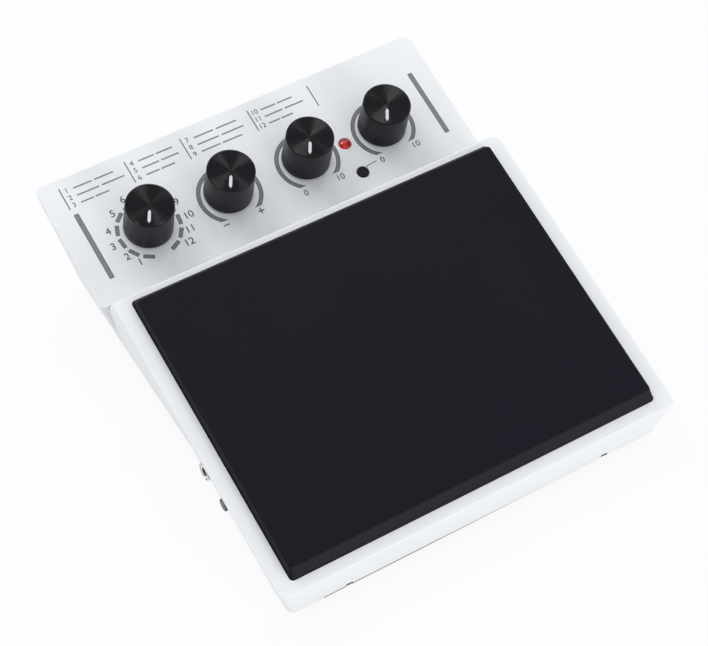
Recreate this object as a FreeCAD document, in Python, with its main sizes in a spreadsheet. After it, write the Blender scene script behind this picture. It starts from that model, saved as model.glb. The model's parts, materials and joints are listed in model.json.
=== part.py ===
"""Electronic percussion pad, a wedge-shaped desktop instrument.

A white moulded case slopes up towards the rear. Its raised front deck carries one
large rubber playing pad over a steel plate, foam and a sensor. The lower rear panel
carries four rotary controls, a lamp and a push button. Sockets sit in a bay in the
rear wall and one in the left wall, and four cells lie behind a door underneath.

Axes: +X to the player's right, +Y to the rear, +Z up, in millimetres. The origin is
on the table, under the centre of the case. Deck pieces are drawn flat, with u across,
v up the slope from the pad's front edge and w square to the deck, then tilted.
"""
import FreeCAD, Part
import math
import os
import Sketcher

os.makedirs("parts", exist_ok=True)
doc = FreeCAD.newDocument("percussion_pad")
sheet = doc.addObject("Spreadsheet::Sheet", "sizes")

SIZES = {
    # case, outside
    "tilt": 14,
    "foot_height": 3.3,
    "deck_height": 21.7,
    "margin_side": 6.9,
    "margin_front": 5,
    "margin_rear": 2.7,
    "step_drop": 18,
    "ramp_run": 8.1,
    "panel_depth": 57.4,
    "panel_lap": 0.5,
    "inset_side": 8.8,
    "inset_front": 2.9,
    "inset_rear": 9.1,
    "flare": 4,
    "flare_place": 82,
    "corner_front": 3,
    "corner_rear": 3.3,
    "corner_panel": 3.6,
    "corner_jog": 1.5,
    "rim_round": 0.8,
    "panel_round": 0.8,
    "wall": 2.5,
    "notch_across": 55.5,
    "notch_width": 2.4,
    "notch_height": 2,
    # playing pad
    "pad_width": 155.7,
    "pad_length": 122,
    "pad_rise": 4,
    "pad_sink": 1.4,
    "pad_corner": 1.4,
    "pad_gap": 0.3,
    "bevel_side": 0.7,
    "bevel_front": 3,
    "bevel_rear": 2.1,
    "recess_depth": 7,
    "tray_floor": 2,
    "plate_gauge": 1.6,
    "plate_border": 1.2,
    "foam_border": 2.8,
    "sensor_room": 16,
    "sensor_radius": 13.5,
    "sensor_gauge": 0.4,
    "cushion_radius": 10,
    "lead_radius": 0.9,
    "lead_bend": 5,
    "lead_drop": 6,
    "lead_inset": 0.5,
    # rotary controls
    "knob_pitch": 35,
    "knob_row": 23.3,
    "knob_radius": 9.81,
    "knob_taper": 0.25,
    "knob_height": 16.2,
    "knob_round": 0.6,
    "knob_gap": 1,
    "knob_wall": 1.5,
    "knob_roof": 2.2,
    "hub_radius": 5,
    "shaft_radius": 3,
    "shaft_play": 0.05,
    "flat_depth": 1.5,
    "flat_length": 8,
    "rest_turn": 150,
    "pointer_start": 1.9,
    "pointer_end": 7.9,
    "pointer_width": 1.55,
    "pointer_tip": 0.9,
    "pointer_depth": 0.8,
    "pointer_proud": 0.05,
    "control_width": 16.5,
    "control_length": 17.5,
    "control_roof": 2,
    "control_depth": 7,
    "rotor_radius": 5.2,
    "rotor_gauge": 1.4,
    "rotor_gap": 0.4,
    "bushing_radius": 3.5,
    "bushing_proud": 3.5,
    "nut_height": 2,
    "nut_radius": 5.6,
    # lamp and push button
    "lamp_across": 35.3,
    "lamp_row": 22.8,
    "lamp_radius": 2.5,
    "lamp_proud": 0.6,
    "lamp_bulge": 3.2,
    "button_row": 8.3,
    "button_radius": 2.3,
    "button_proud": 0.8,
    "button_round": 0.5,
    "button_gap": 0.3,
    "button_lip": 0.9,
    "lip_gap": 0.4,
    "lip_gauge": 1.5,
    "button_travel": 0.5,
    "switch_width": 6,
    "switch_height": 3.5,
    "plunger_radius": 1.7,
    "plunger_play": 0.08,
    "plunger_sink": 1.2,
    # circuit boards
    "board_gauge": 1.6,
    "board_border": 0.75,
    "panel_board_front": 4.2,
    "board_rise": 6.1,
    "board_margin": 4.8,
    "board_span": 66.8,
    "main_length": 30,
    "board_split": 3,
    "small_head_radius": 2.2,
    "small_head_height": 1.5,
    "processor_across": 23,
    "processor_width": 14,
    "processor_height": 1.4,
    "memory_across": 38,
    "memory_width": 8,
    "memory_length": 12,
    "can_across": 50,
    "can_pitch": 7,
    "can_radius": 3,
    "can_height": 6.5,
    "post_radius": 3,
    "pilot_radius": 1,
    "pilot_depth": 5,
    "ribbon_across": 29,
    "ribbon_width": 12,
    "ribbon_gauge": 0.8,
    "ribbon_run": 10.5,
    "plug_height": 4,
    "plug_length": 6,
    # rear sockets
    "bay_half": 62,
    "bay_step": 1.1,
    "bay_low": 11,
    "bay_high": 31,
    "bay_border": 2.5,
    "jack_width": 14,
    "jack_height": 12,
    "jack_length": 24,
    "jack_pitch": 19,
    "jack_across": 17,
    "jack_bushing": 4.5,
    "jack_bore": 3.3,
    "jack_floor": 2,
    "jack_proud": 3.8,
    "jack_nut_radius": 6.4,
    "jack_nut_height": 2.2,
    "socket_gap": 0.2,
    "mini_width": 6.4,
    "mini_length": 12,
    "mini_bushing": 3,
    "mini_bore": 1.85,
    "mini_floor": 1.2,
    "mini_proud": 1.8,
    "mini_nut_radius": 3.9,
    "mini_nut_height": 1.2,
    "mini_across": 52,
    "usb_width": 12.2,
    "usb_height": 11,
    "usb_length": 16,
    "usb_across": 22,
    "usb_shell": 0.8,
    "usb_deep": 9,
    "usb_tongue_width": 5.6,
    "usb_tongue_height": 3.2,
    "power_width": 9,
    "power_height": 11,
    "power_length": 14.5,
    "power_across": 53,
    "power_bore": 2.9,
    "power_deep": 9,
    "power_pin": 1,
    "toggle_width": 14,
    "toggle_height": 7,
    "toggle_length": 6,
    "toggle_across": 39,
    "toggle_travel": 4,
    "slider_width": 4,
    "slider_height": 3.6,
    "slider_gap": 0.4,
    "slider_proud": 2,
    # left wall socket and side screws
    "phones_place": 55,
    "phones_drop": 14.3,
    "phones_seat": 2.3,
    "seat_radius": 5,
    "phones_proud": 1,
    "phones_ring": 3.7,
    "side_screw_place": 40.3,
    "side_screw_drop": 13.6,
    "side_head_radius": 2.5,
    "side_head_proud": 0.9,
    "side_seat": 1.6,
    "side_boss_radius": 4.5,
    # bottom plate, feet and case screws
    "plate_thickness": 3,
    "plate_gap": 0.3,
    "plate_corner": 4.2,
    "foot_radius": 7,
    "foot_sink": 1,
    "foot_chamfer": 0.8,
    "foot_across": 58,
    "foot_front": 13,
    "foot_rear": 24,
    "boss_radius": 3.8,
    "boss_gap": 0.7,
    "screw_radius": 1.25,
    "screw_play": 0.05,
    "screw_length": 8,
    "head_radius": 2.75,
    "head_height": 1.7,
    "head_gap": 0.35,
    "screw_front_across": 40,
    "screw_front_place": 6.2,
    "screw_middle_across": 66,
    "screw_middle_place": 76,
    "screw_rear_across": 67,
    "insert_across": 100,
    "insert_along": 50,
    "insert_middle": -20,
    "insert_radius": 3.5,
    "insert_bore": 2.1,
    "insert_length": 8,
    "insert_boss": 5.5,
    # batteries
    "cell_radius": 7.1,
    "cell_length": 49.3,
    "cell_pitch": 15,
    "nub_radius": 2.6,
    "nub_length": 1.2,
    "spring_length": 3,
    "contact_gauge": 0.5,
    "contact_width": 9,
    "holder_half": 35,
    "holder_wall": 1.2,
    "holder_front": 45,
    "cell_clearance": 0.25,
    "door_gauge": 1.8,
    "door_sink": 0.2,
    "door_half": 31.7,
    "door_gap": 0.3,
    "door_travel": 7,
    "ledge_side": 1.2,
    "hook_length": 4,
    "hook_reach": 2.2,
    "hook_gauge": 1,
    "hook_stem": 1,
    "hook_first": 9,
    "hook_pitch": 30,
    "grip_depth": 0.5,
    "grip_half": 10,
    "grip_width": 1,
    "grip_pitch": 2.5,
    "grip_first": 3,
}
for row, (alias, value) in enumerate(SIZES.items(), start=1):
    sheet.set(f"A{row}", alias)
    sheet.set(f"B{row}", str(value))
    sheet.setAlias(f"B{row}", alias)
doc.recompute()

Vector = FreeCAD.Vector
Rotation = FreeCAD.Rotation
RIGHT, REAR, UP = Vector(1, 0, 0), Vector(0, 1, 0), Vector(0, 0, 1)


# Places worked out from the sizes
HALF = "(sizes.pad_width / 2 + sizes.margin_side)"
DECK_REAR = "(sizes.pad_length + sizes.margin_rear)"
RAMP_FOOT = f"({DECK_REAR} + sizes.ramp_run)"
PANEL_REAR = f"({RAMP_FOOT} + sizes.panel_depth)"
DECK_Y = (f"(-(({PANEL_REAR} - sizes.margin_front) * cos(sizes.tilt)"
          " + (sizes.step_drop + sizes.rim_round + sizes.panel_round) * sin(sizes.tilt)) / 2)")


def deck_y(v, w):
    """Y of the deck point at v up the slope and w off the deck."""
    return f"({DECK_Y} + ({v}) * cos(sizes.tilt) - ({w}) * sin(sizes.tilt))"


def deck_z(v, w):
    """Z of the deck point at v up the slope and w off the deck."""
    return f"(sizes.deck_height + ({v}) * sin(sizes.tilt) + ({w}) * cos(sizes.tilt))"


LOW = "sizes.foot_height"
PLATE_TOP = "(sizes.foot_height + sizes.plate_thickness)"
BASE_HALF = f"({HALF} - sizes.inset_side)"
BASE_FRONT = f"({deck_y('-sizes.margin_front', '0')} + sizes.inset_front)"
FLARE_HALF = f"({BASE_HALF} + sizes.flare)"
BASE_REAR = f"({deck_y(PANEL_REAR, '-sizes.step_drop')} - sizes.inset_rear)"
CREST_Y, CREST_Z = deck_y(DECK_REAR, "0"), deck_z(DECK_REAR, "0")
SHELF_Y, SHELF_Z = deck_y(RAMP_FOOT, "-sizes.step_drop"), deck_z(RAMP_FOOT, "-sizes.step_drop")
RAMP_BASE = (f"({CREST_Y} + ({CREST_Z} - {LOW}) * ({SHELF_Y} - {CREST_Y})"
             f" / ({CREST_Z} - {SHELF_Z}))")
PANEL = "(-sizes.step_drop)"
PANEL_UNDER = "(-sizes.step_drop - sizes.wall)"
PANEL_BOARD_TOP = f"({PANEL_UNDER} - sizes.control_depth)"
PANEL_BOARD_LOW = f"({PANEL_BOARD_TOP} - sizes.board_gauge)"
BOARD_LOW = f"({PLATE_TOP} + sizes.board_rise)"
BOARD_TOP = f"({BOARD_LOW} + sizes.board_gauge)"
KNOB_V = f"({RAMP_FOOT} + sizes.knob_row)"
LAMP_V = f"({RAMP_FOOT} + sizes.lamp_row)"
BUTTON_V = f"({RAMP_FOOT} + sizes.button_row)"
PANEL_BOARD_HALF = "(1.5 * sizes.knob_pitch + sizes.control_width / 2 + sizes.board_border)"
PANEL_BOARD_FRONT = f"({RAMP_FOOT} + sizes.panel_board_front)"
PANEL_BOARD_REAR = f"({KNOB_V} + sizes.control_length / 2 + sizes.board_border)"
TRAY = "(-sizes.recess_depth)"
SLAB = "(-sizes.recess_depth - sizes.tray_floor)"
BAY = f"({BASE_REAR} - sizes.bay_step)"
BAY_INNER = f"({BAY} - sizes.wall)"
BOARD_HALF = "(sizes.mini_across + sizes.mini_width / 2 + sizes.board_margin)"
MAIN_FRONT = f"({BAY_INNER} - sizes.board_span)"
MAIN_REAR = f"({MAIN_FRONT} + sizes.main_length)"
JACK_BOARD_FRONT = f"({MAIN_REAR} + sizes.board_split)"
HOLDER_FRONT = "(-sizes.holder_front)"
HOLDER_REAR = (f"({HOLDER_FRONT} + 2 * sizes.contact_gauge + sizes.spring_length"
               " + sizes.cell_length + sizes.nub_length)")
LEAD_LANDING = "(sizes.pad_length - sizes.lead_inset)"
KNOB_PLACES = [f"(sizes.knob_pitch * {step})" for step in (-1.5, -0.5, 0.5, 1.5)]
CONTROL_NAMES = ["select", "tune", "effect", "volume"]


def number(text):
    """Value of an expression on the sizes."""
    return float(sheet.evalExpression(text))


def place(thing, x="0", y="0", z="0", angle=None, axis=RIGHT):
    """Put a piece at x, y, z, turned by an angle about one axis."""
    if angle is not None:
        thing.Placement = FreeCAD.Placement(Vector(), Rotation(axis, number(angle)))
        thing.setExpression("Placement.Rotation.Angle", angle)
    for letter, text in zip("xyz", (x, y, z)):
        thing.setExpression(f"Placement.Base.{letter}", text)
    return thing


def on_deck(thing):
    """Tilt a piece drawn flat onto the deck."""
    return place(thing, "0", DECK_Y, "sizes.deck_height", "sizes.tilt")


# Solids with sizes bound to expressions
def box(name, x0, x1, y0, y1, z0, z1):
    """Rectangular block between two corners."""
    block = doc.addObject("Part::Box", name)
    block.setExpression("Length", f"({x1}) - ({x0})")
    block.setExpression("Width", f"({y1}) - ({y0})")
    block.setExpression("Height", f"({z1}) - ({z0})")
    return place(block, x0, y0, z0)


def rod(name, x, y, z, radius, length, along="z"):
    """Round rod from a point along +X, +Y or +Z."""
    bar = doc.addObject("Part::Cylinder", name)
    bar.setExpression("Radius", radius)
    bar.setExpression("Height", length)
    if along == "x":
        return place(bar, x, y, z, "90", REAR)
    if along == "y":
        return place(bar, x, y, z, "-90", RIGHT)
    return place(bar, x, y, z)


def hexagon(name, x, y, z, radius, length, along="z"):
    """Six-sided bar from a point along +Y or +Z."""
    bar = doc.addObject("Part::Prism", name)
    bar.Polygon = 6
    bar.setExpression("Circumradius", radius)
    bar.setExpression("Height", length)
    if along == "y":
        return place(bar, x, y, z, "-90", RIGHT)
    return place(bar, x, y, z)


def fuse(name, *solids):
    """Union of solids, which may lie apart as one group."""
    whole = doc.addObject("Part::MultiFuse", name)
    whole.Shapes = list(solids)
    whole.Refine = False
    return whole


def cut(name, base, *tools):
    """Base with every tool cut away."""
    result = doc.addObject("Part::Cut", name)
    result.Base = base
    result.Tool = tools[0] if len(tools) == 1 else fuse(f"{name}_tools", *tools)
    result.Refine = False
    return result


def common(name, first, second):
    """What two solids share."""
    result = doc.addObject("Part::Common", name)
    result.Base, result.Tool = first, second
    result.Refine = False
    return result


# Sketches
def plane_of(body, role):
    """One of a body's own origin planes."""
    return next(item for item in body.Origin.OriginFeatures if item.Role == role)


def sketch(body, name, points, plane="XY_Plane", lift="0", tilt=None, shift="0",
           turn=None, closed=True):
    """Outline on a plane of the body.

    Each point is (x, y) or (x, y, radius), where a radius bends the stretch to the
    next point into an arc, to the left, or to the right for a text starting with "-".
    """
    drawing = body.newObject("Sketcher::SketchObject", name)
    drawing.AttachmentSupport = (plane_of(body, plane), [""])
    drawing.MapMode = "FlatFace"
    angle, axis = (tilt, RIGHT) if tilt else (turn or "0", UP)
    drawing.AttachmentOffset = FreeCAD.Placement(Vector(), Rotation(axis, number(angle)))
    if tilt or turn:
        drawing.setExpression(".AttachmentOffset.Rotation.Angle", angle)
    drawing.setExpression(".AttachmentOffset.Base.y", shift)
    drawing.setExpression(".AttachmentOffset.Base.z", lift)
    values = [(number(point[0]), number(point[1])) for point in points]
    count = len(points)
    stretches = []
    for index in range(count if closed else count - 1):
        start, end = values[index], values[(index + 1) % count]
        radius = points[index][2] if len(points[index]) == 3 else None
        stretches.append(stretch(drawing, start, end, radius))
    for index, (item, first, last, radius) in enumerate(stretches):
        bind_point(drawing, item, first, points[index])
        if radius:
            hold(drawing, "Radius", (item,), radius)
        following = stretches[(index + 1) % len(stretches)]
        if closed or index + 1 < len(stretches):
            drawing.addConstraint(Sketcher.Constraint(
                "Coincident", item, last, following[0], following[1]))
        else:
            bind_point(drawing, item, last, points[-1])
    return drawing


def stretch(drawing, start, end, radius):
    """Line or arc from start to end, with the numbers of its two ends."""
    if radius is None:
        line = Part.LineSegment(Vector(*start, 0), Vector(*end, 0))
        return drawing.addGeometry(line), 1, 2, None
    side = -1 if radius.startswith("-") else 1
    radius = radius.lstrip("-")
    reach = number(radius)
    run, rise = end[0] - start[0], end[1] - start[1]
    chord = math.hypot(run, rise)
    height = math.sqrt(max(reach ** 2 - chord ** 2 / 4, 0))
    centre = ((start[0] + end[0]) / 2 - side * rise / chord * height,
              (start[1] + end[1]) / 2 + side * run / chord * height)
    angles = [math.atan2(end_y - centre[1], end_x - centre[0])
              for end_x, end_y in (start, end)]
    circle = Part.Circle(Vector(*centre, 0), UP, reach)
    if side < 0:
        arc = Part.ArcOfCircle(circle, angles[1], angles[0])
        return drawing.addGeometry(arc), 2, 1, radius
    arc = Part.ArcOfCircle(circle, angles[0], angles[1])
    return drawing.addGeometry(arc), 1, 2, radius


def hold(drawing, kind, where, text):
    """Constraint whose value follows an expression."""
    index = drawing.addConstraint(Sketcher.Constraint(kind, *where, number(text)))
    drawing.setExpression(f"Constraints[{index}]", text)


def bind_point(drawing, item, end, point):
    """Tie one end of a stretch to its x and y."""
    hold(drawing, "DistanceX", (item, end), point[0])
    hold(drawing, "DistanceY", (item, end), point[1])


def ring(body, name, x, y, radius, lift="0"):
    """Circle on the body's flat plane."""
    drawing = body.newObject("Sketcher::SketchObject", name)
    drawing.AttachmentSupport = (plane_of(body, "XY_Plane"), [""])
    drawing.MapMode = "FlatFace"
    drawing.setExpression(".AttachmentOffset.Base.z", lift)
    circle = Part.Circle(Vector(number(x), number(y), 0), UP, number(radius))
    drawing.addGeometry(circle)
    hold(drawing, "DistanceX", (0, 3), x)
    hold(drawing, "DistanceY", (0, 3), y)
    hold(drawing, "Radius", (0,), radius)
    return drawing


def rectangle(x0, x1, y0, y1):
    """Corners of a rectangle, in order."""
    return [(x0, y0), (x1, y0), (x1, y1), (x0, y1)]


def rounded(half, y0, y1, front, rear):
    """Rectangle centred across, with its front and rear corner radii."""
    return [(f"-{half} + {front}", y0),
            (f"{half} - {front}", y0, front), (half, f"{y0} + {front}"),
            (half, f"{y1} - {rear}", rear), (f"{half} - {rear}", y1),
            (f"-{half} + {rear}", y1, rear), (f"-{half}", f"{y1} - {rear}"),
            (f"-{half}", f"{y0} + {front}", front)]


def flared(front_half, half, y0, waist, y1, front, rear):
    """Rounded outline that widens from its waist to its front corners."""
    return [(f"-{front_half} + {front}", y0),
            (f"{front_half} - {front}", y0, front), (front_half, f"{y0} + {front}"),
            (half, waist), (half, f"{y1} - {rear}", rear), (f"{half} - {rear}", y1),
            (f"-{half} + {rear}", y1, rear), (f"-{half}", f"{y1} - {rear}"),
            (f"-{half}", waist), (f"-{front_half}", f"{y0} + {front}", front)]


# Features of a body
def body_of(name):
    """Empty body."""
    return doc.addObject("PartDesign::Body", name)


def pad(body, name, drawing, length, reversed_=False):
    """Raise an outline into a solid."""
    feature = body.newObject("PartDesign::Pad", name)
    feature.Profile = drawing
    feature.setExpression("Length", length)
    feature.Reversed = reversed_
    return feature


def pocket(body, name, drawing, depth, reversed_=False):
    """Cut an outline into the solid, away from the outline's own side."""
    feature = body.newObject("PartDesign::Pocket", name)
    feature.Profile = drawing
    feature.setExpression("Length", depth)
    feature.Reversed = reversed_
    return feature


def loft(body, name, low, *higher):
    """Straight walls from each outline to the next."""
    feature = body.newObject("PartDesign::AdditiveLoft", name)
    feature.Profile = low
    feature.Sections = list(higher)
    feature.Ruled = True
    return feature


def slab(name, points, z0, thickness):
    """Flat piece of one outline."""
    body = body_of(name)
    pad(body, f"{name}_pad", sketch(body, f"{name}_outline", points, lift=z0), thickness)
    return body


def turned(name, points):
    """Piece of revolution about Z from its half section."""
    body = body_of(name)
    drawing = sketch(body, f"{name}_section", points, plane="XZ_Plane")
    feature = body.newObject("PartDesign::Revolution", f"{name}_turn")
    feature.Profile = drawing
    feature.ReferenceAxis = (drawing, ["V_Axis"])
    feature.Angle = 360
    return body


NODES = {}


def node(name, thing):
    """Name a finished piece."""
    thing.Label = name
    NODES[name] = thing
    return thing


# Case
def rounded_block(name, low, top, rise, edge):
    """Block with leaning walls and a sloping top whose edge is rounded over.

    low is the outline on the floor line; top gives the outline on the slope for how far
    it is drawn in and how far it lies below the top.
    """
    body = body_of(name)
    outlines = []
    for step in range(ROUND_STEPS + 1):
        angle = 90 * step / ROUND_STEPS
        inward = f"({edge} * (1 - cos({angle})))"
        below = f"({edge} * (1 - sin({angle})))"
        level = f"({rise} - {below})"
        outlines.append(sketch(body, f"{name}_ring_{step}", top(inward, below),
                               lift=deck_z("0", level), shift=deck_y("0", level),
                               tilt="sizes.tilt"))
    loft(body, f"{name}_loft", sketch(body, f"{name}_low", low, lift=LOW), *outlines)
    return body


ROUND_STEPS = 4


def front_block():
    """Raised front of the case, whose ramp runs on down inside the low rear."""
    slope = "(sizes.ramp_run / sizes.step_drop)"
    cutback = f"({slope} + tan(atan(1 / {slope}) / 2))"

    def top(inward, below):
        rear = f"({DECK_REAR} + {slope} * sizes.rim_round - {cutback} * {inward})"
        half = f"({HALF} - {inward})"
        return flared(half, half, f"(-sizes.margin_front + {inward})", "sizes.flare_place", rear,
                      f"(sizes.corner_front - {inward})", f"(sizes.corner_rear - {inward})")

    low = flared(FLARE_HALF, BASE_HALF, BASE_FRONT, deck_y("sizes.flare_place", "0"), RAMP_BASE,
                 "sizes.corner_front", "sizes.corner_rear")
    whole = rounded_block("front_whole", low, top, "0", "sizes.rim_round")
    wide = f"(2 * {HALF})"
    return common("front_block", whole,
                  box("front_part", f"-{wide}", wide, f"-2 * {wide}", f"{SHELF_Y} + 6", "0",
                      f"2 * {CREST_Z}"))


def rear_block():
    """Low rear of the case under the control panel."""
    def top(inward, below):
        return rounded(f"({HALF} - {inward})", f"({RAMP_FOOT} - sizes.panel_lap)",
                       f"({PANEL_REAR} - {inward})", "sizes.corner_jog",
                       f"(sizes.corner_panel - {inward})")

    low = rounded(BASE_HALF, f"({SHELF_Y} + 4)", BASE_REAR, "sizes.corner_jog",
                  "sizes.corner_panel")
    return rounded_block("rear_block", low, top, PANEL, "sizes.panel_round")


def side_x(place_v, drop):
    """Distance across to the side wall at a place along the deck and a drop below it."""
    ahead = f"(sizes.flare_place - {place_v})"
    whole = "(sizes.flare_place + sizes.margin_front - sizes.corner_front)"
    return (f"({HALF} - (sizes.inset_side - sizes.flare * {ahead} / {whole})"
            f" * {drop} * cos(sizes.tilt) / ({deck_z(place_v, '0')} - {LOW}))")


PHONES_X = side_x("sizes.phones_place", "sizes.phones_drop")
PHONES_Y = deck_y("sizes.phones_place", "-sizes.phones_drop")
PHONES_Z = deck_z("sizes.phones_place", "-sizes.phones_drop")
PHONES_INNER = f"(-{PHONES_X} + sizes.phones_seat + sizes.wall)"
SIDE_X = side_x("sizes.side_screw_place", "sizes.side_screw_drop")
SIDE_Y = deck_y("sizes.side_screw_place", "-sizes.side_screw_drop")
SIDE_Z = deck_z("sizes.side_screw_place", "-sizes.side_screw_drop")
JACK_Z = f"({BOARD_TOP} + sizes.jack_height / 2)"
MINI_Z = f"({BOARD_TOP} + sizes.mini_width / 2)"
JACK_PLACES = [f"(sizes.jack_pitch * {step} - sizes.jack_across)" for step in (1, 0, -1)]
JACK_NAMES = ["output_jack_right", "output_jack_left", "trigger_jack"]


def case_screw_places():
    """Across, Y, and top of the boss for the six case screws."""
    middle_of_floor = "(-sizes.recess_depth - sizes.tray_floor / 2)"
    middle_of_panel = "(-sizes.step_drop - sizes.wall / 2)"
    rear = f"({PANEL_BOARD_REAR} + sizes.boss_radius + sizes.boss_gap)"
    rows = [("sizes.screw_front_across", "sizes.screw_front_place", middle_of_floor),
            ("sizes.screw_middle_across", "sizes.screw_middle_place", middle_of_floor),
            ("sizes.screw_rear_across", rear, middle_of_panel)]
    return [(f"({side} * {across})", deck_y(v, w), deck_z(v, w))
            for across, v, w in rows for side in (-1, 1)]


def panel_post_places():
    """Across and up the slope for the posts that hold the panel board."""
    front = f"({PANEL_BOARD_FRONT} + 1.2 * sizes.post_radius)"
    rear = f"({PANEL_BOARD_REAR} - 1.2 * sizes.post_radius)"
    outer = f"({PANEL_BOARD_HALF} - 1.5 * sizes.post_radius)"
    return [(f"({side} * {across})", v)
            for across, v in ((outer, front), ("sizes.knob_pitch", rear)) for side in (-1, 1)]


def side_bosses():
    """Seats behind the left socket and the two side screws, before trimming."""
    phones = rod("phones_boss", f"-{PHONES_X} - 10", PHONES_Y, PHONES_Z,
                 "sizes.seat_radius + 2", "10 + sizes.phones_seat + sizes.wall", "x")
    reach = "(sizes.side_seat + 3 * sizes.wall)"
    left = rod("side_boss_left", f"-{SIDE_X} - 10", SIDE_Y, SIDE_Z,
               "sizes.side_boss_radius", f"10 + {reach}", "x")
    right = rod("side_boss_right", f"{SIDE_X} - {reach}", SIDE_Y, SIDE_Z,
                "sizes.side_boss_radius", f"10 + {reach}", "x")
    return fuse("side_bosses", phones, left, right)


def case_inside():
    """Hollow of the case: straight leaning walls under a stepped roof."""
    half, front, rear = (f"({BASE_HALF} - sizes.wall)", f"({BASE_FRONT} + sizes.wall)",
                         f"({BASE_REAR} - sizes.wall)")
    corner = "(sizes.corner_panel - sizes.wall)"
    body = body_of("inside_walls")
    loft(body, "inside_loft",
         sketch(body, "inside_low", rounded(half, front, rear, corner, corner),
                lift=f"({LOW} - 1)"),
         sketch(body, "inside_high", rounded(f"({half} + sizes.inset_side)", front,
                                             f"({rear} + sizes.inset_rear)", corner, corner),
                lift=CREST_Z))
    deep = "(3 * sizes.pad_width)"
    ramp = f"({DECK_REAR} - 1.1 * sizes.wall - sizes.ramp_run / sizes.step_drop"
    profile = [(f"-{deep}", SLAB), (f"-{deep}", f"-{deep}"), (deep, f"-{deep}"),
               (deep, PANEL_UNDER), (f"{ramp} * {PANEL_UNDER})", PANEL_UNDER),
               (f"{ramp} * {SLAB})", SLAB)]
    below = body_of("under_roof")
    pad(below, "under_roof_pad", sketch(below, "roof_profile", profile, plane="YZ_Plane"),
        f"3 * {HALF}").Midplane = True
    return common("inside", body, on_deck(below))


def deck_cuts():
    """Everything cut square to the deck: pad recess, control holes, lamp, button."""
    recess = slab("recess", rounded("(sizes.pad_width / 2 + sizes.pad_gap)", "-sizes.pad_gap",
                                    "(sizes.pad_length + sizes.pad_gap)",
                                    "(sizes.pad_corner + sizes.pad_gap)",
                                    "(sizes.pad_corner + sizes.pad_gap)"),
                  TRAY, "sizes.recess_depth + sizes.pad_rise")
    deep = "2 * sizes.wall"
    low = f"({PANEL_UNDER} - sizes.wall / 2)"
    holes = [rod(f"control_hole_{index}", x, KNOB_V, low,
                 "sizes.bushing_radius + sizes.socket_gap", deep)
             for index, x in enumerate(KNOB_PLACES)]
    lamp = rod("lamp_hole", "sizes.lamp_across", LAMP_V, low,
               "sizes.lamp_radius + sizes.socket_gap", deep)
    button = rod("button_hole", "sizes.lamp_across", BUTTON_V, low,
                 "sizes.button_radius + sizes.button_gap", deep)
    lead = rod("lead_hole", "0", LEAD_V, f"{SLAB} - 1", "2 * sizes.lead_radius",
               "sizes.tray_floor + 2")
    pilots = [rod(f"panel_pilot_{index}", x, v, PANEL_BOARD_TOP, "sizes.pilot_radius",
                  "sizes.pilot_depth") for index, (x, v) in enumerate(panel_post_places())]
    return on_deck(fuse("deck_cuts", recess, *holes, lamp, button, lead, *pilots))


LEAD_V = ("(sizes.pad_length / 2 + (sizes.cushion_radius + sizes.sensor_room) / 2)")


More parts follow.
